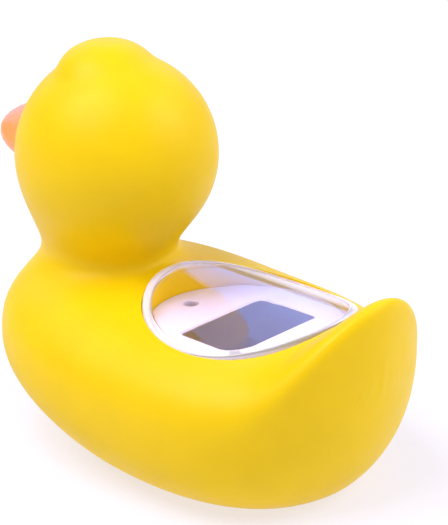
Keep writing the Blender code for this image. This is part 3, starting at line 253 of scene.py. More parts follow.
# Lamps: name, azimuth, elevation, distance, width, height, power and colour
LAMPS = [
    ("key", 66, 62, 2.0, 1.4, 1.4, 37.0, (1.0, 0.985, 0.97)),
    ("side_fill", 220, 38, 1.2, 0.8, 0.8, 7.5, (0.98, 0.97, 1.0)),
    ("back_card", 312, 27, 0.75, 1.1, 0.6, 2.6, (0.15, 0.30, 1.0)),
]
LAMP_AIM = Vector((0.0, 0.0, 0.05))

# Camera: behind the duck's left side, with the display's middle at one place of the picture
VIEW_AZIMUTH = 132.0
VIEW_ELEVATION = 24.0
VIEW_DISTANCE = 0.700
DISPLAY_Z = 39.0 * MM
FOCAL_PIXELS = 2779.0
PICTURE_HEIGHT = 525.0
SENSOR_HEIGHT = 36.0
CLIP_START = 0.05
DISPLAY_RIGHT_OF_MIDDLE = 26.0
DISPLAY_BELOW_MIDDLE = 62.5

# Levels and places that follow
flat_share = FLAT_HALF_WIDTH / BODY_HALF_WIDTH
BODY_MID_Z = BELLY_DEPTH * (1.0 - flat_share ** BELLY_POWER) ** (1.0 / BELLY_POWER)
HEAD_Z = BODY_MID_Z + HEAD_ABOVE_BODY
NECK_Y = HEAD_Y - NECK_AHEAD
NECK_Z = HEAD_Z - NECK_BELOW_HEAD
TUFT_Y = HEAD_Y - TUFT_AHEAD
TUFT_Z = HEAD_Z + HEAD_RADIUS - TUFT_SUNK
NAPE_Y = HEAD_Y + HEAD_RADIUS + NAPE_BEHIND_HEAD
NAPE_Z = HEAD_Z - NAPE_BELOW_HEAD
TAIL_END_Y = BODY_MID_Y + BODY_REAR
BILL_LENGTH = HEAD_RADIUS + BILL_REACH
BILL_ROOT = HEAD_RADIUS - BILL_SUNK
DISPLAY_TO_MIDDLE = -0.5 * (TAIL_END_Y + HEAD_Y - BILL_LENGTH)
WINDOW_Z = BODY_MID_Z + BACK_HEIGHT + WINDOW_ABOVE_BACK
ABOVE_WINDOW = WINDOW_Z + LENS_PROUD + ABOVE_LENS

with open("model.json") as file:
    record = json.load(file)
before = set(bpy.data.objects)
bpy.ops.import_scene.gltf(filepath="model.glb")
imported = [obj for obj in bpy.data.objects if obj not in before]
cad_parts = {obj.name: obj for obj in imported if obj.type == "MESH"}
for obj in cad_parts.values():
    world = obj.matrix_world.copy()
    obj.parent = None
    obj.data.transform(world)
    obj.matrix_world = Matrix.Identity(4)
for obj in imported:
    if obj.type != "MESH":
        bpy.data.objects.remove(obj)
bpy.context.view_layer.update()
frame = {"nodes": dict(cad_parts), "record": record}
plate_low, plate_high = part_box("face_plate")
LEDGE_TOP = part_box("circuit_board")[0].z - GAP
LEDGE_BOTTOM = LEDGE_TOP - LEDGE_THICKNESS


def soft_ramp(value, bend):
    """Zero before the start and a straight rise after it, with a smooth bend between."""
    return bend * np.logaddexp(0.0, value / bend)


def fillet(a, b, width):
    """The smaller of two distances, rounded where they are nearly equal."""
    near = np.clip(width - np.abs(a - b), 0.0, None) / width
    return np.minimum(a, b) - near * near * width / 4.0


def ellipsoid_distance(x, y, z, middle_y, middle_z, radii):
    """Approximate distance to an ellipsoid, negative inside."""
    px = x / radii[0]
    py = (y - middle_y) / radii[1]
    pz = (z - middle_z) / radii[2]
    size = np.sqrt(px * px + py * py + pz * pz)
    slope = np.sqrt((px / radii[0]) ** 2 + (py / radii[1]) ** 2 + (pz / radii[2]) ** 2)
    return size * (size - 1.0) / np.maximum(slope, LEAST_SLOPE)


def tail_lift(y):
    """Height that the tail adds to the body's middle line."""
    return TAIL_RISE * soft_ramp(y - TAIL_START_Y, TAIL_BEND)


def chest_lift(y):
    """Height that the chest's underside rises towards the front."""
    return CHEST_RISE * soft_ramp(CHEST_START_Y - y, CHEST_BEND)


def middle_height(y):
    """Height of the body's middle line, where it is widest."""
    return BODY_MID_Z + tail_lift(y) + CHEST_TOP_SHARE * chest_lift(y)


def body_distance(x, y, z):
    """Approximate distance to the bent egg, kept a little short, negative inside."""
    end = np.where(y < BODY_MID_Y, BODY_FRONT, BODY_REAR)
    along = np.abs(y - BODY_MID_Y) / end
    across = np.abs(x) / BODY_HALF_WIDTH
    rise = z - middle_height(y)
    belly = BELLY_DEPTH + TAIL_FILL * tail_lift(y) - (1.0 - CHEST_TOP_SHARE) * chest_lift(y)
    up = np.abs(rise) / np.where(rise > 0.0, BACK_HEIGHT, belly)
    power = np.where(rise > 0.0, BACK_POWER, BELLY_POWER)
    plan = across ** PLAN_SIDE_POWER + along ** PLAN_END_POWER
    size = (plan ** (power / PLAN_SIDE_POWER) + up ** power) ** (1.0 / power)
    reach = np.sqrt(x * x + (y - BODY_MID_Y) ** 2 + rise * rise)
    return BODY_CAUTION * reach * (size - 1.0) / np.maximum(size, LEAST_SIZE)


def window_level(x):
    """Height of the window's seat line, which bends down to both sides."""
    return WINDOW_Z - x * x / (2.0 * WINDOW_BEND)


def rim_distance(x, y, z):
    """Approximate distance to the raised rim that carries the window, negative inside."""
    half_width = 0.5 * WINDOW_WIDTH + GAP
    half_length = 0.5 * WINDOW_LENGTH + GAP
    outside = half_width * (np.sqrt((x / half_width) ** 2 + (y / half_length) ** 2) - 1.0)
    top = window_level(x) - RIM_BELOW_SEAT_LINE - RIM_SLOPE * np.maximum(outside, 0.0)
    return np.maximum(z - top, WINDOW_Z - RIM_DEPTH - z)


def duck_distance(x, y, z):
    """Approximate distance to the duck's skin, negative inside."""
    neck_radii = (NECK_RADIUS, NECK_RADIUS, NECK_HALF_HEIGHT)
    tuft_radii = (TUFT_HALF_WIDTH, TUFT_HALF_LENGTH, TUFT_HALF_HEIGHT)
    neck = ellipsoid_distance(x, y, z, NECK_Y, NECK_Z, neck_radii)
    head = ellipsoid_distance(x, y, z, HEAD_Y, HEAD_Z, (HEAD_RADIUS,) * 3)
    tuft = ellipsoid_distance(x, y, z, TUFT_Y, TUFT_Z, tuft_radii)
    form = fillet(body_distance(x, y, z), rim_distance(x, y, z), RIM_FILLET)
    form = fillet(form, neck, NECK_FILLET)
    form = fillet(form, head, HEAD_FILLET)
    return fillet(form, tuft, TUFT_FILLET)


def skin_distance(x, y, z):
    """The duck's distance made true to length by the slope of the form."""
    here = duck_distance(x, y, z)
    slope_x = (duck_distance(x + SLOPE_STEP, y, z) - here) / SLOPE_STEP
    slope_y = (duck_distance(x, y + SLOPE_STEP, z) - here) / SLOPE_STEP
    slope_z = (duck_distance(x, y, z + SLOPE_STEP) - here) / SLOPE_STEP
    slope = np.sqrt(slope_x ** 2 + slope_y ** 2 + slope_z ** 2)
    return here / np.maximum(slope, LEAST_SKIN_SLOPE)


def crossing(distance, inside, outside, level):
    """Reach between an inner and an outer one at which a distance comes to a level."""
    for _ in range(HALVINGS):
        middle = 0.5 * (inside + outside)
        beyond = distance(middle) > level
        outside = np.where(beyond, middle, outside)
        inside = np.where(beyond, inside, middle)
    return 0.5 * (inside + outside)


def spine(rings, level):
    """Middles and upward directions of the rings from the tail, over the nape, to the crown."""
    tail_rings, fan_rings, head_rings = rings
    beyond = level + SEARCH_BEYOND

    def along(y):
        return skin_distance(0.0, y, middle_height(y))

    def upward(z):
        return skin_distance(0.0, HEAD_Y, z)

    tail_y = crossing(along, 0.0, TAIL_END_Y + beyond, level)
    crown_z = crossing(upward, HEAD_Z, TUFT_Z + TUFT_HALF_HEIGHT + beyond, level)
    places = []
    for i in range(tail_rings):
        y = NAPE_Y + (tail_y - NAPE_Y) * cos(0.5 * pi * i / (tail_rings - 1))
        places.append((y, middle_height(y), 0.0, 1.0))
    for i in range(1, fan_rings + 1):
        share = i / fan_rings
        turn = 0.5 * pi * share
        reach = (1.0 - share) * (NAPE_Z - middle_height(NAPE_Y)) + share * (NAPE_Y - HEAD_Y)
        y = NAPE_Y - sin(turn) * reach
        places.append((y, NAPE_Z - cos(turn) * reach, sin(turn), cos(turn)))
    for i in range(1, head_rings + 1):
        height = NAPE_Z + (crown_z - NAPE_Z) * sin(0.5 * pi * i / head_rings)
        places.append((HEAD_Y, height, 1.0, 0.0))
    return places


def duck_loops(facets, level):
    """Closed rings on the duck's form, at a distance from its skin."""
    rings, spokes = facets
    places = np.array(spine(rings, level))
    turn = 2.0 * pi * np.arange(spokes) / spokes
    side = -np.sin(turn)[None, :] * np.ones((len(places), 1))
    dy = places[:, 2:3] * np.cos(turn)[None, :]
    dz = places[:, 3:4] * np.cos(turn)[None, :]
    middle_y = places[:, 0:1] * np.ones_like(dy)
    middle_z = places[:, 1:2] * np.ones_like(dy)

    def depth(reach):
        return skin_distance(reach * side, middle_y + reach * dy, middle_z + reach * dz)

    def form(reach):
        return duck_distance(reach * side, middle_y + reach * dy, middle_z + reach * dz)

    reach = np.zeros_like(dy)
    while np.any(form(reach + WALK_STEP) < 0.0):
        reach = np.where(form(reach + WALK_STEP) < 0.0, reach + WALK_STEP, reach)
    reach = crossing(form, reach, reach + WALK_STEP, 0.0)
    if level > 0.0:
        reach = crossing(depth, reach, reach + SEARCH_SHARE * level, level)
    if level < 0.0:
        while np.any((depth(reach) > level) & (reach > 0.0)):
            reach = np.where(depth(reach) > level, np.maximum(reach - WALK_STEP, 0.0), reach)
        reach = crossing(depth, reach, reach + WALK_STEP, level)
    loops = []
    for i in range(len(places)):
        y = middle_y[i] + reach[i] * dy[i]
        z = middle_z[i] + reach[i] * dz[i]
        loops.append([Vector(p) for p in zip(reach[i] * side[i], y, z)])
    loops[0] = [Vector((0.0, places[0, 0], places[0, 1]))]
    loops[-1] = [Vector((0.0, places[-1, 0], places[-1, 1]))]
    return loops


def lofted(name, loops, ring=False):
    """A closed solid through loops, one of which may be one point; a ring joins end to end."""
    form = bmesh.new()
    rows = [[form.verts.new(point) for point in loop] for loop in loops]
    if ring:
        rows.append(rows[0])
    for low, high in zip(rows, rows[1:]):
        count = max(len(low), len(high))
        for i in range(count):
            j = (i + 1) % count
            corners = [low[i % len(low)], low[j % len(low)]]
            corners += [high[j % len(high)], high[i % len(high)]]
            form.faces.new(list(dict.fromkeys(corners)))
    if not ring and len(rows[0]) > 1:
        form.faces.new(rows[0][::-1])
    if not ring and len(rows[-1]) > 1:
        form.faces.new(rows[-1])
    mesh = bpy.data.meshes.new(name)
    form.to_mesh(mesh)
    form.free()
    thing = bpy.data.objects.new(name, mesh)
    bpy.context.scene.collection.objects.link(thing)
    return thing


def circle(radius, z, x, y, points):
    """One round loop, or one point where the radius is nothing."""
    if radius == 0.0:
        return [Vector((x, y, z))]
    turns = [2.0 * pi * i / points for i in range(points)]
    return [Vector((x + radius * cos(t), y + radius * sin(t), z)) for t in turns]


def turned(name, profile, x=0.0, y=0.0, points=ROUND_FACETS):
    """A solid of revolution about a vertical line; the profile gives radius and height upwards."""
    return lofted(name, [circle(radius, z, x, y, points) for radius, z in profile])


def rod(name, radius, levels, x=0.0, y=0.0, points=ROUND_FACETS):
    """An upright round rod between two levels."""
    return turned(name, [(radius, z) for z in levels], x, y, points)


def oval(width, length, middle_y, offset):
    """Points across and along an oval, moved outwards by an offset."""
    points = []
    for i in range(OVAL_FACETS):
        t = 2.0 * pi * i / OVAL_FACETS
        outward = Vector((length * sin(t), -width * cos(t))).normalized()
        x = 0.5 * width * sin(t) + offset * outward.x
        points.append((x, middle_y - 0.5 * length * cos(t) + offset * outward.y))
    return points


def window_oval(z, offset):
    """The window's outline at one height, moved outwards by an offset."""
    return [Vector((x, y, z)) for x, y in oval(WINDOW_WIDTH, WINDOW_LENGTH, 0.0, offset)]


def bent_oval(above, offset, share=1.0):
    """The window's outline, or a share of it, at a height above the bent seat line."""
    points = [(share * x, share * y) for x, y in oval(WINDOW_WIDTH, WINDOW_LENGTH, 0.0, offset)]
    return [Vector((x, y, window_level(x) + above)) for x, y in points]


def base_oval(z, offset):
    """The base plate's outline, moved outwards by an offset."""
    return [Vector((x, y, z)) for x, y in oval(BASE_WIDTH, BASE_LENGTH, BASE_Y, offset)]


def prism(name, outline, levels, offset):
    """A straight form between two levels, with one of the outlines moved outwards by an offset."""
    return lofted(name, [outline(z, offset) for z in levels])


def ground_block(name, top):
    """A wide block below a level, for cutting a plain flat."""
    reach = 2.0 * BODY_FRONT
    levels = (-BELLY_DEPTH, top)
    return lofted(name, [[Vector((reach * x, reach * y, z)) for x, y in SQUARE] for z in levels])


def combine(target, tool, operation="DIFFERENCE"):
    """Cut one form from another, or join them, and remove the tool."""
    change = target.modifiers.new(tool.name, "BOOLEAN")
    change.operation = operation
    change.object = tool
    state = bpy.context.evaluated_depsgraph_get()
    mesh = bpy.data.meshes.new_from_object(target.evaluated_get(state))
    target.modifiers.clear()
    target.data = mesh
    bpy.data.objects.remove(tool, do_unlink=True)


def seated(piece, material, slot, *nodes, sharp=35.0):
    """Move a piece along the duck, finish it, keep edges over an angle sharp, hide the CAD nodes it
    replaces.
    """
    piece.data.transform(Matrix.Translation((0.0, DISPLAY_TO_MIDDLE, 0.0)))
    piece.data.shade_smooth()
    piece.data.set_sharp_from_angle(angle=radians(sharp))
    piece.data.materials.clear()
    piece.data.materials.append(material)
    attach(piece, "root")
    if nodes:
        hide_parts(*nodes)


class Surface:
    """A principled material and short ways to add nodes to it."""

    def __init__(self, name, color, roughness, metallic=0.0):
        self.material = bpy.data.materials.new(name)
        self.material.use_nodes = True
        self.nodes = self.material.node_tree.nodes
        self.links = self.material.node_tree.links
        self.shader = self.nodes["Principled BSDF"]
        self.color = color
        self.roughness = roughness
        self.shader.inputs["Base Color"].default_value = (*color, 1.0)
        self.shader.inputs["Roughness"].default_value = roughness
        self.shader.inputs["Metallic"].default_value = metallic
        self.place = self.nodes.new("ShaderNodeTexCoord").outputs["Object"]

    def set(self, **values):
        """Set plain sockets of the shader by name, with underscores for blanks."""
        for key, value in values.items():
            self.shader.inputs[key.replace("_", " ")].default_value = value

    def noise(self, size, detail=2.0, stretch=(1.0, 1.0, 1.0)):
        """Noise whose grains are about one size across, between 0 and 1."""
        mapping = self.nodes.new("ShaderNodeMapping")
        mapping.inputs["Scale"].default_value = stretch
        self.links.new(self.place, mapping.inputs["Vector"])
        texture = self.nodes.new("ShaderNodeTexNoise")
        texture.inputs["Scale"].default_value = 1.0 / size
        texture.inputs["Detail"].default_value = detail
        self.links.new(mapping.outputs["Vector"], texture.inputs["Vector"])
        return texture.outputs["Fac"]

    def vary_color(self, value, darker, lighter):
        """Let the colour go between two multiples of itself."""
        ramp = self.nodes.new("ShaderNodeValToRGB")
        for stop, share in zip(ramp.color_ramp.elements, (darker, lighter)):
            stop.color = (*(min(1.0, c * share) for c in self.color), 1.0)
        ramp.color_ramp.elements[0].position = NOISE_LOW
        ramp.color_ramp.elements[1].position = NOISE_HIGH
        self.links.new(value, ramp.inputs["Fac"])
        self.links.new(ramp.outputs["Color"], self.shader.inputs["Base Color"])

    def vary_roughness(self, value, spread):
        """Let the roughness go up and down by a spread."""
        change = self.nodes.new("ShaderNodeMapRange")
        change.inputs["From Min"].default_value = NOISE_LOW
        change.inputs["From Max"].default_value = NOISE_HIGH
        change.inputs["To Min"].default_value = self.roughness - spread
        change.inputs["To Max"].default_value = self.roughness + spread
        self.links.new(value, change.inputs["Value"])
        self.links.new(change.outputs["Result"], self.shader.inputs["Roughness"])

    def bump(self, value, height):
        """Raise the surface by a height at most."""
        lift = self.nodes.new("ShaderNodeBump")
        lift.inputs["Strength"].default_value = 1.0
        lift.inputs["Distance"].default_value = height
        self.links.new(value, lift.inputs["Height"])
        self.links.new(lift.outputs["Normal"], self.shader.inputs["Normal"])


def moulded(name, color, roughness, grain, height):
    """A finish with slow colour and gloss changes and a fine grain."""
    surface = Surface(name, color, roughness)
    surface.vary_color(surface.noise(MOULDED_CLOUDS), *MOULDED_COLORS)
    gloss = surface.noise(MOULDED_GLOSS_CLOUDS, detail=4.0)
    surface.vary_roughness(gloss, MOULDED_GLOSS_SHARE * roughness)
    surface.bump(surface.noise(grain, detail=3.0), height)
    return surface


def brushed(name, color, roughness, along):
    """Metal with fine lines along one direction."""
    surface = Surface(name, color, roughness, 1.0)
    stretch = [BRUSHED_ALONG if axis == along else 1.0 for axis in range(3)]
    lines = surface.noise(BRUSHED_LINES, detail=3.0, stretch=stretch)
    surface.vary_color(surface.noise(BRUSHED_CLOUDS), *BRUSHED_COLORS)
    surface.vary_roughness(lines, BRUSHED_GLOSS_SHARE * roughness)
    surface.bump(lines, BRUSHED_HEIGHT)
    return surface


def clear_plastic():
    """Polished clear plastic that lets light through, made milky at its rim as a painted reflection
    of the rim's glints.
    """
    surface = Surface("clear_window", CLEAR_COLOR, CLEAR_ROUGHNESS)
    surface.set(Transmission_Weight=1.0, IOR=CLEAR_INDEX)
    middle = surface.nodes.new("ShaderNodeMapping")
    middle.vector_type = "TEXTURE"
    middle.inputs["Location"].default_value = (0.0, DISPLAY_TO_MIDDLE, 0.0)
    half_width = 0.5 * WINDOW_WIDTH
    middle.inputs["Scale"].default_value = (half_width, 0.5 * WINDOW_LENGTH, RIM_FADE_HEIGHT)
    length = surface.nodes.new("ShaderNodeVectorMath")
    length.operation = "LENGTH"
    # Painted reflection: clearness falls towards the rim's edge, so the rim shows diffuse white
    # where the clear rim would show glints
    rim = surface.nodes.new("ShaderNodeMapRange")
    rim.inputs["From Min"].default_value = 1.0 - RIM_FADE_START * LENS_RIM_WIDTH / half_width
    rim.inputs["From Max"].default_value = 1.0 - RIM_FADE_END * LENS_RIM_WIDTH / half_width
    rim.inputs["To Min"].default_value = 1.0
    rim.inputs["To Max"].default_value = PAINTED_GLINT_RIM_CLEARNESS
    surface.links.new(surface.place, middle.inputs["Vector"])
    surface.links.new(middle.outputs["Vector"], length.inputs[0])
    surface.links.new(length.outputs["Value"], rim.inputs["Value"])
    surface.links.new(rim.outputs["Result"], surface.shader.inputs["Transmission Weight"])
    surface.vary_roughness(surface.noise(CLEAR_GLOSS_CLOUDS, detail=3.0), CLEAR_GLOSS_CHANGE)
    see = surface.nodes.new("ShaderNodeBsdfTransparent")
    see.inputs["Color"].default_value = CLEAR_SHADOW
    path = surface.nodes.new("ShaderNodeLightPath")
    mix = surface.nodes.new("ShaderNodeMixShader")
    output = surface.nodes["Material Output"]
    surface.links.new(path.outputs["Is Shadow Ray"], mix.inputs["Fac"])
    surface.links.new(surface.shader.outputs["BSDF"], mix.inputs[1])
    surface.links.new(see.outputs["BSDF"], mix.inputs[2])
    surface.links.new(mix.outputs["Shader"], output.inputs["Surface"])
    return surface


# The finishes: name, colour, roughness, then grain and its height or the brushing's axis
soft_yellow = moulded("soft_touch_yellow", (0.87, 0.582, 0.001), 0.45, 0.35 * MM, 0.004 * MM)
soft_yellow.set(Subsurface_Weight=0.2, Subsurface_Scale=2.0 * MM, Specular_IOR_Level=0.2)
soft_yellow.set(Subsurface_Radius=(1.0, 0.6, 0.15))
base_yellow = moulded("base_yellow", (0.86, 0.572, 0.003), 0.4, 0.25 * MM, 0.006 * MM)
base_yellow.set(Specular_IOR_Level=0.3)
orange = moulded("glossy_orange", (0.93, 0.35, 0.10), 0.25, 0.5 * MM, 0.002 * MM)
orange.set(Coat_Weight=0.3, Coat_Roughness=0.1, Subsurface_Weight=0.2, Subsurface_Scale=2 * MM)
black_eye = moulded("glossy_black", (0.012, 0.011, 0.013), 0.1, 0.8 * MM, 0.001 * MM)
black_eye.set(Coat_Weight=0.3, Coat_Roughness=0.05)
white_plate = moulded("satin_white", (0.80, 0.76, 0.90), 0.4, 0.2 * MM, 0.003 * MM)
display_glass = moulded("display_glass", (0.075, 0.06, 0.05), 0.05, 0.9 * MM, 0.001 * MM)
display_glass.set(Coat_Weight=0.3, Coat_Roughness=0.04)
milky = moulded("milky_silicone", (0.78, 0.75, 0.80), 0.5, 0.2 * MM, 0.004 * MM)
milky.set(Subsurface_Weight=0.5, Subsurface_Scale=1.5 * MM)
rubber = moulded("black_rubber", (0.035, 0.035, 0.04), 0.7, 0.15 * MM, 0.008 * MM)
green = moulded("board_green", (0.018, 0.15, 0.06), 0.35, 0.4 * MM, 0.006 * MM)
epoxy = moulded("black_epoxy", (0.014, 0.014, 0.016), 0.3, 0.5 * MM, 0.004 * MM)
smoked = moulded("smoked_light", (0.06, 0.04, 0.035), 0.15, 0.6 * MM, 0.001 * MM)
smoked.set(Coat_Weight=0.5)
steel = brushed("stainless_steel", (0.62, 0.62, 0.64), 0.24, 0)
nickel = brushed("nickel_plate", (0.68, 0.66, 0.61), 0.28, 1)
red_lead = moulded("red_insulation", (0.52, 0.02, 0.018), 0.4, 0.2 * MM, 0.004 * MM)
black_lead = moulded("black_insulation", (0.02, 0.02, 0.022), 0.42, 0.2 * MM, 0.004 * MM)
clear = clear_plastic()

FINISHES = {
    "yellow_body": base_yellow,
    "orange_bill": orange,
    "black_eye": black_eye,
    "clear_window": clear,
    "white_plate": white_plate,
    "display_glass": display_glass,
    "black_rubber": rubber,
    "clear_silicone": milky,
    "green_board": green,
    "black_epoxy": epoxy,
    "smoked_light": smoked,
    "steel": steel,
    "nickel": nickel,
    "red_insulation": red_lead,
    "black_insulation": black_lead,
}


def finish_nodes():
    """Give every CAD node the finish of its material slot."""
    for part in frame["record"]["subparts"]:
        thing = frame["nodes"][part["node"]]
        thing.data.materials.clear()
        thing.data.materials.append(FINISHES[part["material_slot"]].material)


def eye_places():
    """Middle point and outward direction of each eye's place on the head."""
    places = []
    for side in (1, -1):
        level = Vector((side * sin(EYE_TURN), -cos(EYE_TURN), 0.0)) * cos(EYE_LIFT)
        outward = level + Vector((0.0, 0.0, sin(EYE_LIFT)))
        places.append((Vector((0.0, HEAD_Y, HEAD_Z)) + HEAD_RADIUS * outward, outward))
    return places


def aimed(thing, spot, outward):
    """Turn a form's upward direction outwards and move its middle to a spot."""
    turn = outward.to_track_quat("Z", "Y").to_matrix().to_4x4()
    thing.data.transform(Matrix.Translation(spot) @ turn)
    return thing


def face_rod(name, radius, levels):
    """A round rod that points forwards out of the head, where the bill is."""
    thing = rod(name, radius, levels)
    forward = Matrix.Rotation(0.5 * pi, 4, "X")
    place = (0.0, HEAD_Y, HEAD_Z + BILL_PEG_MID)
    thing.data.transform(Matrix.Translation(place) @ forward)
    return thing


def base_screw_places():
    """The four screws of the base plate, on the middle line of its ledge."""
    half_width = 0.5 * (BASE_WIDTH - BASE_LEDGE_WIDTH)
    half_length = 0.5 * (BASE_LENGTH - BASE_LEDGE_WIDTH)
    places = []
    for sx, sy in QUARTERS:
        x = sx * half_width * sin(BASE_SCREW_ANGLE)
        places.append((x, BASE_Y + sy * half_length * cos(BASE_SCREW_ANGLE)))
    return places


def body_hollow():
    """The space inside the body, with the well, the base's ledge and the bosses left out."""
    hollow = lofted("hollow", duck_loops(HOLLOW_FACETS, -WALL))
    combine(hollow, ground_block("hollow_floor", BASE_LEDGE_TOP))
    sleeve_offset = WELL_WALL + GAP - SEAT_WIDTH
    sleeve_levels = (LEDGE_BOTTOM, ABOVE_WINDOW)
    combine(hollow, prism("well_sleeve", window_oval, sleeve_levels, sleeve_offset))
    for x, y in base_screw_places():
        combine(hollow, rod("boss", BOSS_RADIUS, (0.0, BOSS_TOP), x, y, BOSS_FACETS))
    return hollow


def duck_shell():
    """The smooth moulded body with its seat, well, base opening and sockets."""
    hollow = body_hollow()
    shell = lofted("duck_shell", duck_loops(SKIN_FACETS, 0.0))
    combine(shell, ground_block("ground", 0.0))
    combine(shell, hollow)
    inner = -2.0 * SEAT_WIDTH
    seat = [bent_oval(-SEAT_DEPTH, inner), bent_oval(-SEAT_DEPTH, GAP)]
    seat += [window_oval(ABOVE_WINDOW, GAP), window_oval(ABOVE_WINDOW, inner)]
    combine(shell, lofted("window_seat", seat, ring=True))
    combine(shell, prism("well_bore", window_oval, (LEDGE_TOP, ABOVE_WINDOW), -SEAT_WIDTH))
    throat_levels = (LEDGE_BOTTOM - BEYOND, LEDGE_TOP + BEYOND)
    combine(shell, prism("well_throat", window_oval, throat_levels, -SEAT_WIDTH - LEDGE_WIDTH))
    combine(shell, prism("base_rebate", base_oval, (-BEYOND, BASE_LEDGE_BOTTOM), GAP))
    opening_levels = (0.0, BASE_LEDGE_TOP + BEYOND)
    combine(shell, prism("base_opening", base_oval, opening_levels, -BASE_LEDGE_WIDTH))
    for x, y in base_screw_places():
        combine(shell, rod("pilot", PILOT_RADIUS, (0.0, PILOT_TOP), x, y, BOSS_FACETS))
    for spot, outward in eye_places():
        socket = rod("eye_socket", EYE_RADIUS + GAP, (-EYE_SOCKET_DEPTH, EYE_RADIUS))
        combine(shell, aimed(socket, spot, outward))
    peg_levels = (0.5 * HEAD_RADIUS, HEAD_RADIUS + BEYOND)
    combine(shell, face_rod("bill_socket", BILL_PEG_RADIUS + GAP, peg_levels))
    seated(shell, soft_yellow.material, "yellow_body", "duck_body")


def rounded_steps(points, radius):
    """A profile with each corner between its ends rounded, as far as the edges leave room."""
    line = [Vector(p) for p in points]
    out = [line[0]]
    for before, corner, after in zip(line, line[1:], line[2:]):
        back = before - corner
        ahead = after - corner
        arrive = back.normalized() * min(radius, LENS_EDGE_SHARE * back.length)
        leave = ahead.normalized() * min(radius, LENS_EDGE_SHARE * ahead.length)
        for i in range(EDGE_STEPS + 1):
            t = i / EDGE_STEPS
            out.append(corner + arrive * (1.0 - t) ** 2 + leave * t ** 2)
    return [tuple(p) for p in out + [line[-1]]]


def window_lens():
    """The clear bent window with its raised, rounded rim and inner steps."""
    bottom = GAP - SEAT_DEPTH + SEAL_THICKNESS + GAP
    field = LENS_PROUD - LENS_FIELD_SUNK
    underside = field - LENS_THICKNESS
    edge = -LENS_RIM_WIDTH - LENS_FIELD_SUNK
    inner = edge - LENS_FIELD_MARGIN
    shoulder = -SEAT_WIDTH - GAP
    profile = [(inner, underside), (shoulder - LENS_STEP, underside), (shoulder, bottom)]
    profile += [(0.0, bottom), (0.0, LENS_PROUD - LENS_BEVEL)]
    profile += [(-LENS_TOP_BEVEL_SHARE * LENS_BEVEL, LENS_PROUD), (-LENS_RIM_WIDTH, LENS_PROUD)]
    profile += [(edge, field), (inner, field)]
    loops = [[Vector((0.0, 0.0, WINDOW_Z + underside))]]
    loops += [bent_oval(underside, inner, share) for share in LENS_RING_SHARES]
    loops += [bent_oval(z, offset) for offset, z in rounded_steps(profile, LENS_EDGE_RADIUS)]
    loops += [bent_oval(field, inner, share) for share in reversed(LENS_RING_SHARES)]
    loops.append([Vector((0.0, 0.0, WINDOW_Z + field))])
    lens = lofted("window_clear", loops)
    seated(lens, clear.material, "clear_window", "window_lens", sharp=60.0)


def mandible(name, length, half_width, middle, half_height, upturn):
    """One half of the bill: flat rounded rings that narrow to the tip."""
    loops = []
    turns = [2.0 * pi * k / BILL_FACETS for k in range(BILL_FACETS)]
    for i in range(BILL_RINGS):
        share = sin(0.5 * pi * i / BILL_RINGS)
        y = HEAD_Y - BILL_ROOT - (length - BILL_ROOT) * share
        width = half_width * (1.0 - share ** BILL_PLAN_POWER) ** BILL_PLAN_ROUNDNESS
        height = half_height * sqrt(1.0 - share ** BILL_SIDE_POWER)
        height *= 1.0 - BILL_TIP_THINNING * share
        z = HEAD_Z + middle + upturn * share ** 2
        loops.append([Vector((width * cos(t), y, z + height * sin(t))) for t in turns])
    loops.append([Vector((0.0, HEAD_Y - length, HEAD_Z + middle + upturn))])
    return lofted(name, loops)


def duck_bill():
    """The smooth bill, cut to sit on the face."""
    size = (BILL_LENGTH, BILL_HALF_WIDTH, BILL_UPPER_MID, BILL_UPPER_HALF, BILL_UPTURN)
    upper = mandible("bill_smooth", *size)
    lower_length = BILL_LENGTH - BILL_LOWER_SHORTER
    lower_width = BILL_HALF_WIDTH - BILL_LOWER_NARROWER
    lower = mandible("lower_bill", lower_length, lower_width, BILL_LOWER_MID, BILL_LOWER_HALF, 0.0)
    combine(upper, lower, "UNION")
    combine(upper, lofted("face_form", duck_loops(FACE_FACETS, BILL_OFF_FACE)))
    peg_levels = (HEAD_RADIUS - WALL, HEAD_RADIUS + BILL_PEG_END)
    combine(upper, face_rod("bill_peg", BILL_PEG_RADIUS, peg_levels), "UNION")
    seated(upper, orange.material, "orange_bill", "bill", sharp=40.0)


def rounded_rectangle(half_width, half_length, corner, z):
    """A rectangle with round corners round the display's middle, as one loop."""
    loop = []
    for quarter, (sx, sy) in enumerate(QUARTERS):
        for i in range(CORNER_STEPS + 1):
            t = 0.5 * pi * (quarter + i / CORNER_STEPS)
            x = sx * (half_width - corner) + corner * cos(t)
            loop.append(Vector((x, sy * (half_length - corner) + corner * sin(t), z)))
    return loop


def display_outline(z, offset, corner):
    """The display opening's outline at one height, moved outwards by an offset."""
    half_width = 0.5 * LCD_WIDTH + offset
    return rounded_rectangle(half_width, 0.5 * LCD_LENGTH + offset, corner, z)


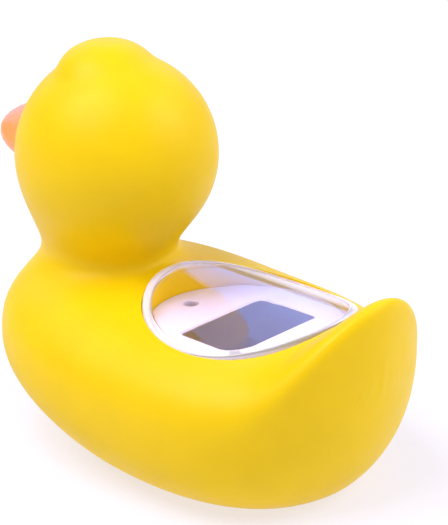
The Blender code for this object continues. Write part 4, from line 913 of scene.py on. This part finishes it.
def display_plate():
    """The white plate with a bevelled opening, a light hole and its screw posts."""
    width = plate_high.x - 0.5 * WINDOW_WIDTH
    top = plate_high.z
    bottom = top - PLATE_THICKNESS
    part_edge = PLATE_EDGE_SHARE * PLATE_EDGE
    levels = [(bottom, 0.0), (top - PLATE_EDGE, 0.0), (top - part_edge, -part_edge)]
    levels.append((top, -PLATE_EDGE))
    plate = lofted("display_plate", [window_oval(z, width + offset) for z, offset in levels])
    post_low = plate_low.z
    for x in (POST_X, -POST_X):
        for y in (POST_Y, -POST_Y):
            post = rod("post", POST_RADIUS, (post_low, bottom + POST_INTO_PLATE), x, y)
            combine(plate, post, "UNION")
            pilot_levels = (post_low - BEYOND, post_low + POST_PILOT_DEPTH)
            combine(plate, rod("post_pilot", POST_PILOT, pilot_levels, x, y))
    border = GLASS_BORDER + GAP
    lip = top - LIP_THICKNESS
    pocket = [(bottom - BEYOND, border), (lip, border)]
    opening = [(bottom - BEYOND, 0.0), (lip, 0.0), (top, LIP_BEVEL), (top + BEYOND, LIP_BEVEL)]
    for name, levels in (("glass_pocket", pocket), ("display_opening", opening)):
        combine(plate, lofted(name, [display_outline(z, out, LCD_CORNER) for z, out in levels]))
    lamp_low, lamp_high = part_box("alert_light")
    lamp_y = 0.5 * (lamp_low.y + lamp_high.y) - DISPLAY_TO_MIDDLE
    wide = LIGHT_HOLE_RADIUS + LIGHT_HOLE_BEVEL
    hole = [(LIGHT_HOLE_RADIUS, bottom - BEYOND), (LIGHT_HOLE_RADIUS, top - LIGHT_HOLE_BEVEL)]
    hole += [(wide, top), (wide, top + BEYOND)]
    combine(plate, turned("light_hole", hole, 0.0, lamp_y))
    seated(plate, white_plate.material, "white_plate", "face_plate", sharp=30.0)


def display_glass_block():
    """The liquid crystal glass: a lower pane and a smaller upper pane right under the lip."""
    low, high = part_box("lcd_panel")
    half_length = 0.5 * (high.y - low.y)
    top = plate_high.z - LIP_THICKNESS - GLASS_BELOW_LIP
    loops = [rounded_rectangle(high.x, half_length, GLASS_CORNER, z) for z in (low.z, high.z)]
    upper = [(high.z, GLASS_BORDER), (top - GLASS_EDGE, GLASS_BORDER)]
    upper.append((top, GLASS_BORDER - GLASS_EDGE))
    loops += [display_outline(z, offset, GLASS_CORNER) for z, offset in upper]
    glass = lofted("display_panes", loops)
    seated(glass, display_glass.material, "display_glass", "lcd_panel")


def fine_eyes():
    """Smooth domed eyes in their sockets."""
    for name, (spot, outward) in zip(("left_eye", "right_eye"), eye_places()):
        profile = [(0.0, GAP - EYE_SOCKET_DEPTH), (EYE_RADIUS, GAP - EYE_SOCKET_DEPTH)]
        rise = EYE_PROUD + EYE_EDGE_SUNK
        for i in range(EYE_RINGS + 1):
            t = 0.5 * pi * i / EYE_RINGS
            radius = 0.0 if i == EYE_RINGS else EYE_RADIUS * cos(t)
            profile.append((radius, rise * sin(t) - EYE_EDGE_SUNK))
        eye = aimed(turned(name + "_dome", profile), spot, outward)
        seated(eye, black_eye.material, "black_eye", name)


def fine_screw(node):
    """A pan head screw that faces down, with a cross recess, ring threads and a short point."""
    low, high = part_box(node)
    x = 0.5 * (low.x + high.x)
    y = 0.5 * (low.y + high.y) - DISPLAY_TO_MIDDLE
    head = 0.5 * (high.x - low.x)
    shank = SHANK_SHARE * head
    head_top = low.z + HEAD_HEIGHT_SHARE * head
    edge = HEAD_EDGE_SHARE * head
    profile = [(0.0, low.z)]
    for t in SCREW_EDGE_TURNS:
        profile.append((head - edge * (1.0 - sin(t)), low.z + edge * (1.0 - cos(t))))
    profile += [(head, head_top), (shank, head_top)]
    level = head_top + 0.5 * THREAD_PITCH
    while level < high.z - THREAD_PITCH:
        profile += [(shank - THREAD_DEPTH, level), (shank, level + 0.5 * THREAD_PITCH)]
        level += THREAD_PITCH
    profile += [(shank - THREAD_DEPTH, high.z - THREAD_END_SHARE * THREAD_PITCH), (0.0, high.z)]
    screw = turned(node + "_fine", profile, x, y, SCREW_FACETS)
    long = RECESS_SHARE * head
    half = 0.5 * RECESS_WIDTH
    levels = (low.z - BEYOND, low.z + RECESS_DEPTH)
    for sizes in ((long, half), (half, long)):
        loop = [(x + a * sizes[0], y + b * sizes[1]) for a, b in SQUARE]
        combine(screw, lofted("cross_recess", [[Vector((*p, z)) for p in loop] for z in levels]))
    seated(screw, steel.material, "steel", node)


def studio():
    """White floor, white surroundings, soft lamps and a pale blue card behind the duck."""
    world = bpy.data.worlds.new("studio")
    world.use_nodes = True
    nodes = world.node_tree.nodes
    links = world.node_tree.links
    nodes["Background"].inputs["Color"].default_value = (1.0, 1.0, 1.0, 1.0)
    sky_direction = nodes.new("ShaderNodeTexCoord").outputs["Generated"]
    parts = nodes.new("ShaderNodeSeparateXYZ")
    rise = nodes.new("ShaderNodeMapRange")
    rise.inputs["From Min"].default_value = HORIZON_RISE
    rise.inputs["From Max"].default_value = ZENITH_RISE
    rise.inputs["To Min"].default_value = HORIZON_LIGHT
    rise.inputs["To Max"].default_value = ZENITH_LIGHT
    links.new(sky_direction, parts.inputs["Vector"])
    links.new(parts.outputs["Z"], rise.inputs["Value"])
    links.new(rise.outputs["Result"], nodes["Background"].inputs["Strength"])
    bpy.context.scene.world = world
    mesh = bpy.data.meshes.new("floor")
    corners = [(FLOOR_REACH * x, FLOOR_REACH * y, 0.0) for x, y in SQUARE]
    mesh.from_pydata(corners, [], [(0, 1, 2, 3)])
    floor = bpy.data.objects.new("floor", mesh)
    bpy.context.scene.collection.objects.link(floor)
    paper = Surface("white_paper", FLOOR_COLOR, FLOOR_ROUGHNESS)
    paper.vary_roughness(paper.noise(FLOOR_GRAIN), FLOOR_GLOSS_CHANGE)
    paper.set(Emission_Color=FLOOR_GLOW_COLOR, Emission_Strength=FLOOR_GLOW)
    floor.data.materials.append(paper.material)
    for lamp in LAMPS:
        softbox(*lamp)


def direction(azimuth, elevation):
    """Unit direction towards an azimuth and elevation; 0 is the face and 90 its left side."""
    a, e = radians(azimuth), radians(elevation)
    return Vector((sin(a) * cos(e), -cos(a) * cos(e), sin(e)))


def softbox(name, azimuth, elevation, distance, width, height, power, color):
    """A large lamp that faces the duck; the card lights only what shines or is clear."""
    lamp = bpy.data.lights.new(name, "AREA")
    lamp.shape = "RECTANGLE"
    lamp.size = width
    lamp.size_y = height
    lamp.energy = power
    lamp.color = color
    thing = bpy.data.objects.new(name, lamp)
    towards = direction(azimuth, elevation)
    thing.location = LAMP_AIM + distance * towards
    thing.rotation_euler = towards.to_track_quat("Z", "Y").to_euler()
    thing.visible_camera = False
    thing.visible_diffuse = name != "back_card"
    bpy.context.scene.collection.objects.link(thing)


def photo_camera():
    """The camera at the photograph's place and angle."""
    back = direction(VIEW_AZIMUTH, VIEW_ELEVATION)
    right = Vector((cos(radians(VIEW_AZIMUTH)), sin(radians(VIEW_AZIMUTH)), 0.0))
    up = back.cross(right)
    away = back * FOCAL_PIXELS + right * DISPLAY_RIGHT_OF_MIDDLE - up * DISPLAY_BELOW_MIDDLE
    away.normalize()
    right = (right - right.dot(away) * away).normalized()
    up = away.cross(right)
    lens = bpy.data.cameras.new("photo_camera")
    lens.sensor_fit = "VERTICAL"
    lens.sensor_height = SENSOR_HEIGHT
    lens.lens = FOCAL_PIXELS * lens.sensor_height / PICTURE_HEIGHT
    lens.clip_start = CLIP_START
    camera = bpy.data.objects.new("photo_camera", lens)
    turn = Matrix((right, up, away)).transposed().to_4x4()
    place = Vector((0.0, DISPLAY_TO_MIDDLE, DISPLAY_Z)) + back * VIEW_DISTANCE
    camera.matrix_world = Matrix.Translation(place) @ turn
    bpy.context.scene.collection.objects.link(camera)
    bpy.context.scene.camera = camera


bpy.context.scene.view_settings.view_transform = "Standard"
photo_camera()
studio()
finish_nodes()
duck_shell()
window_lens()
display_plate()
display_glass_block()
duck_bill()
fine_eyes()
for screw in ("base_screw_1", "base_screw_2", "base_screw_3", "base_screw_4", "hatch_screw"):
    fine_screw(screw)
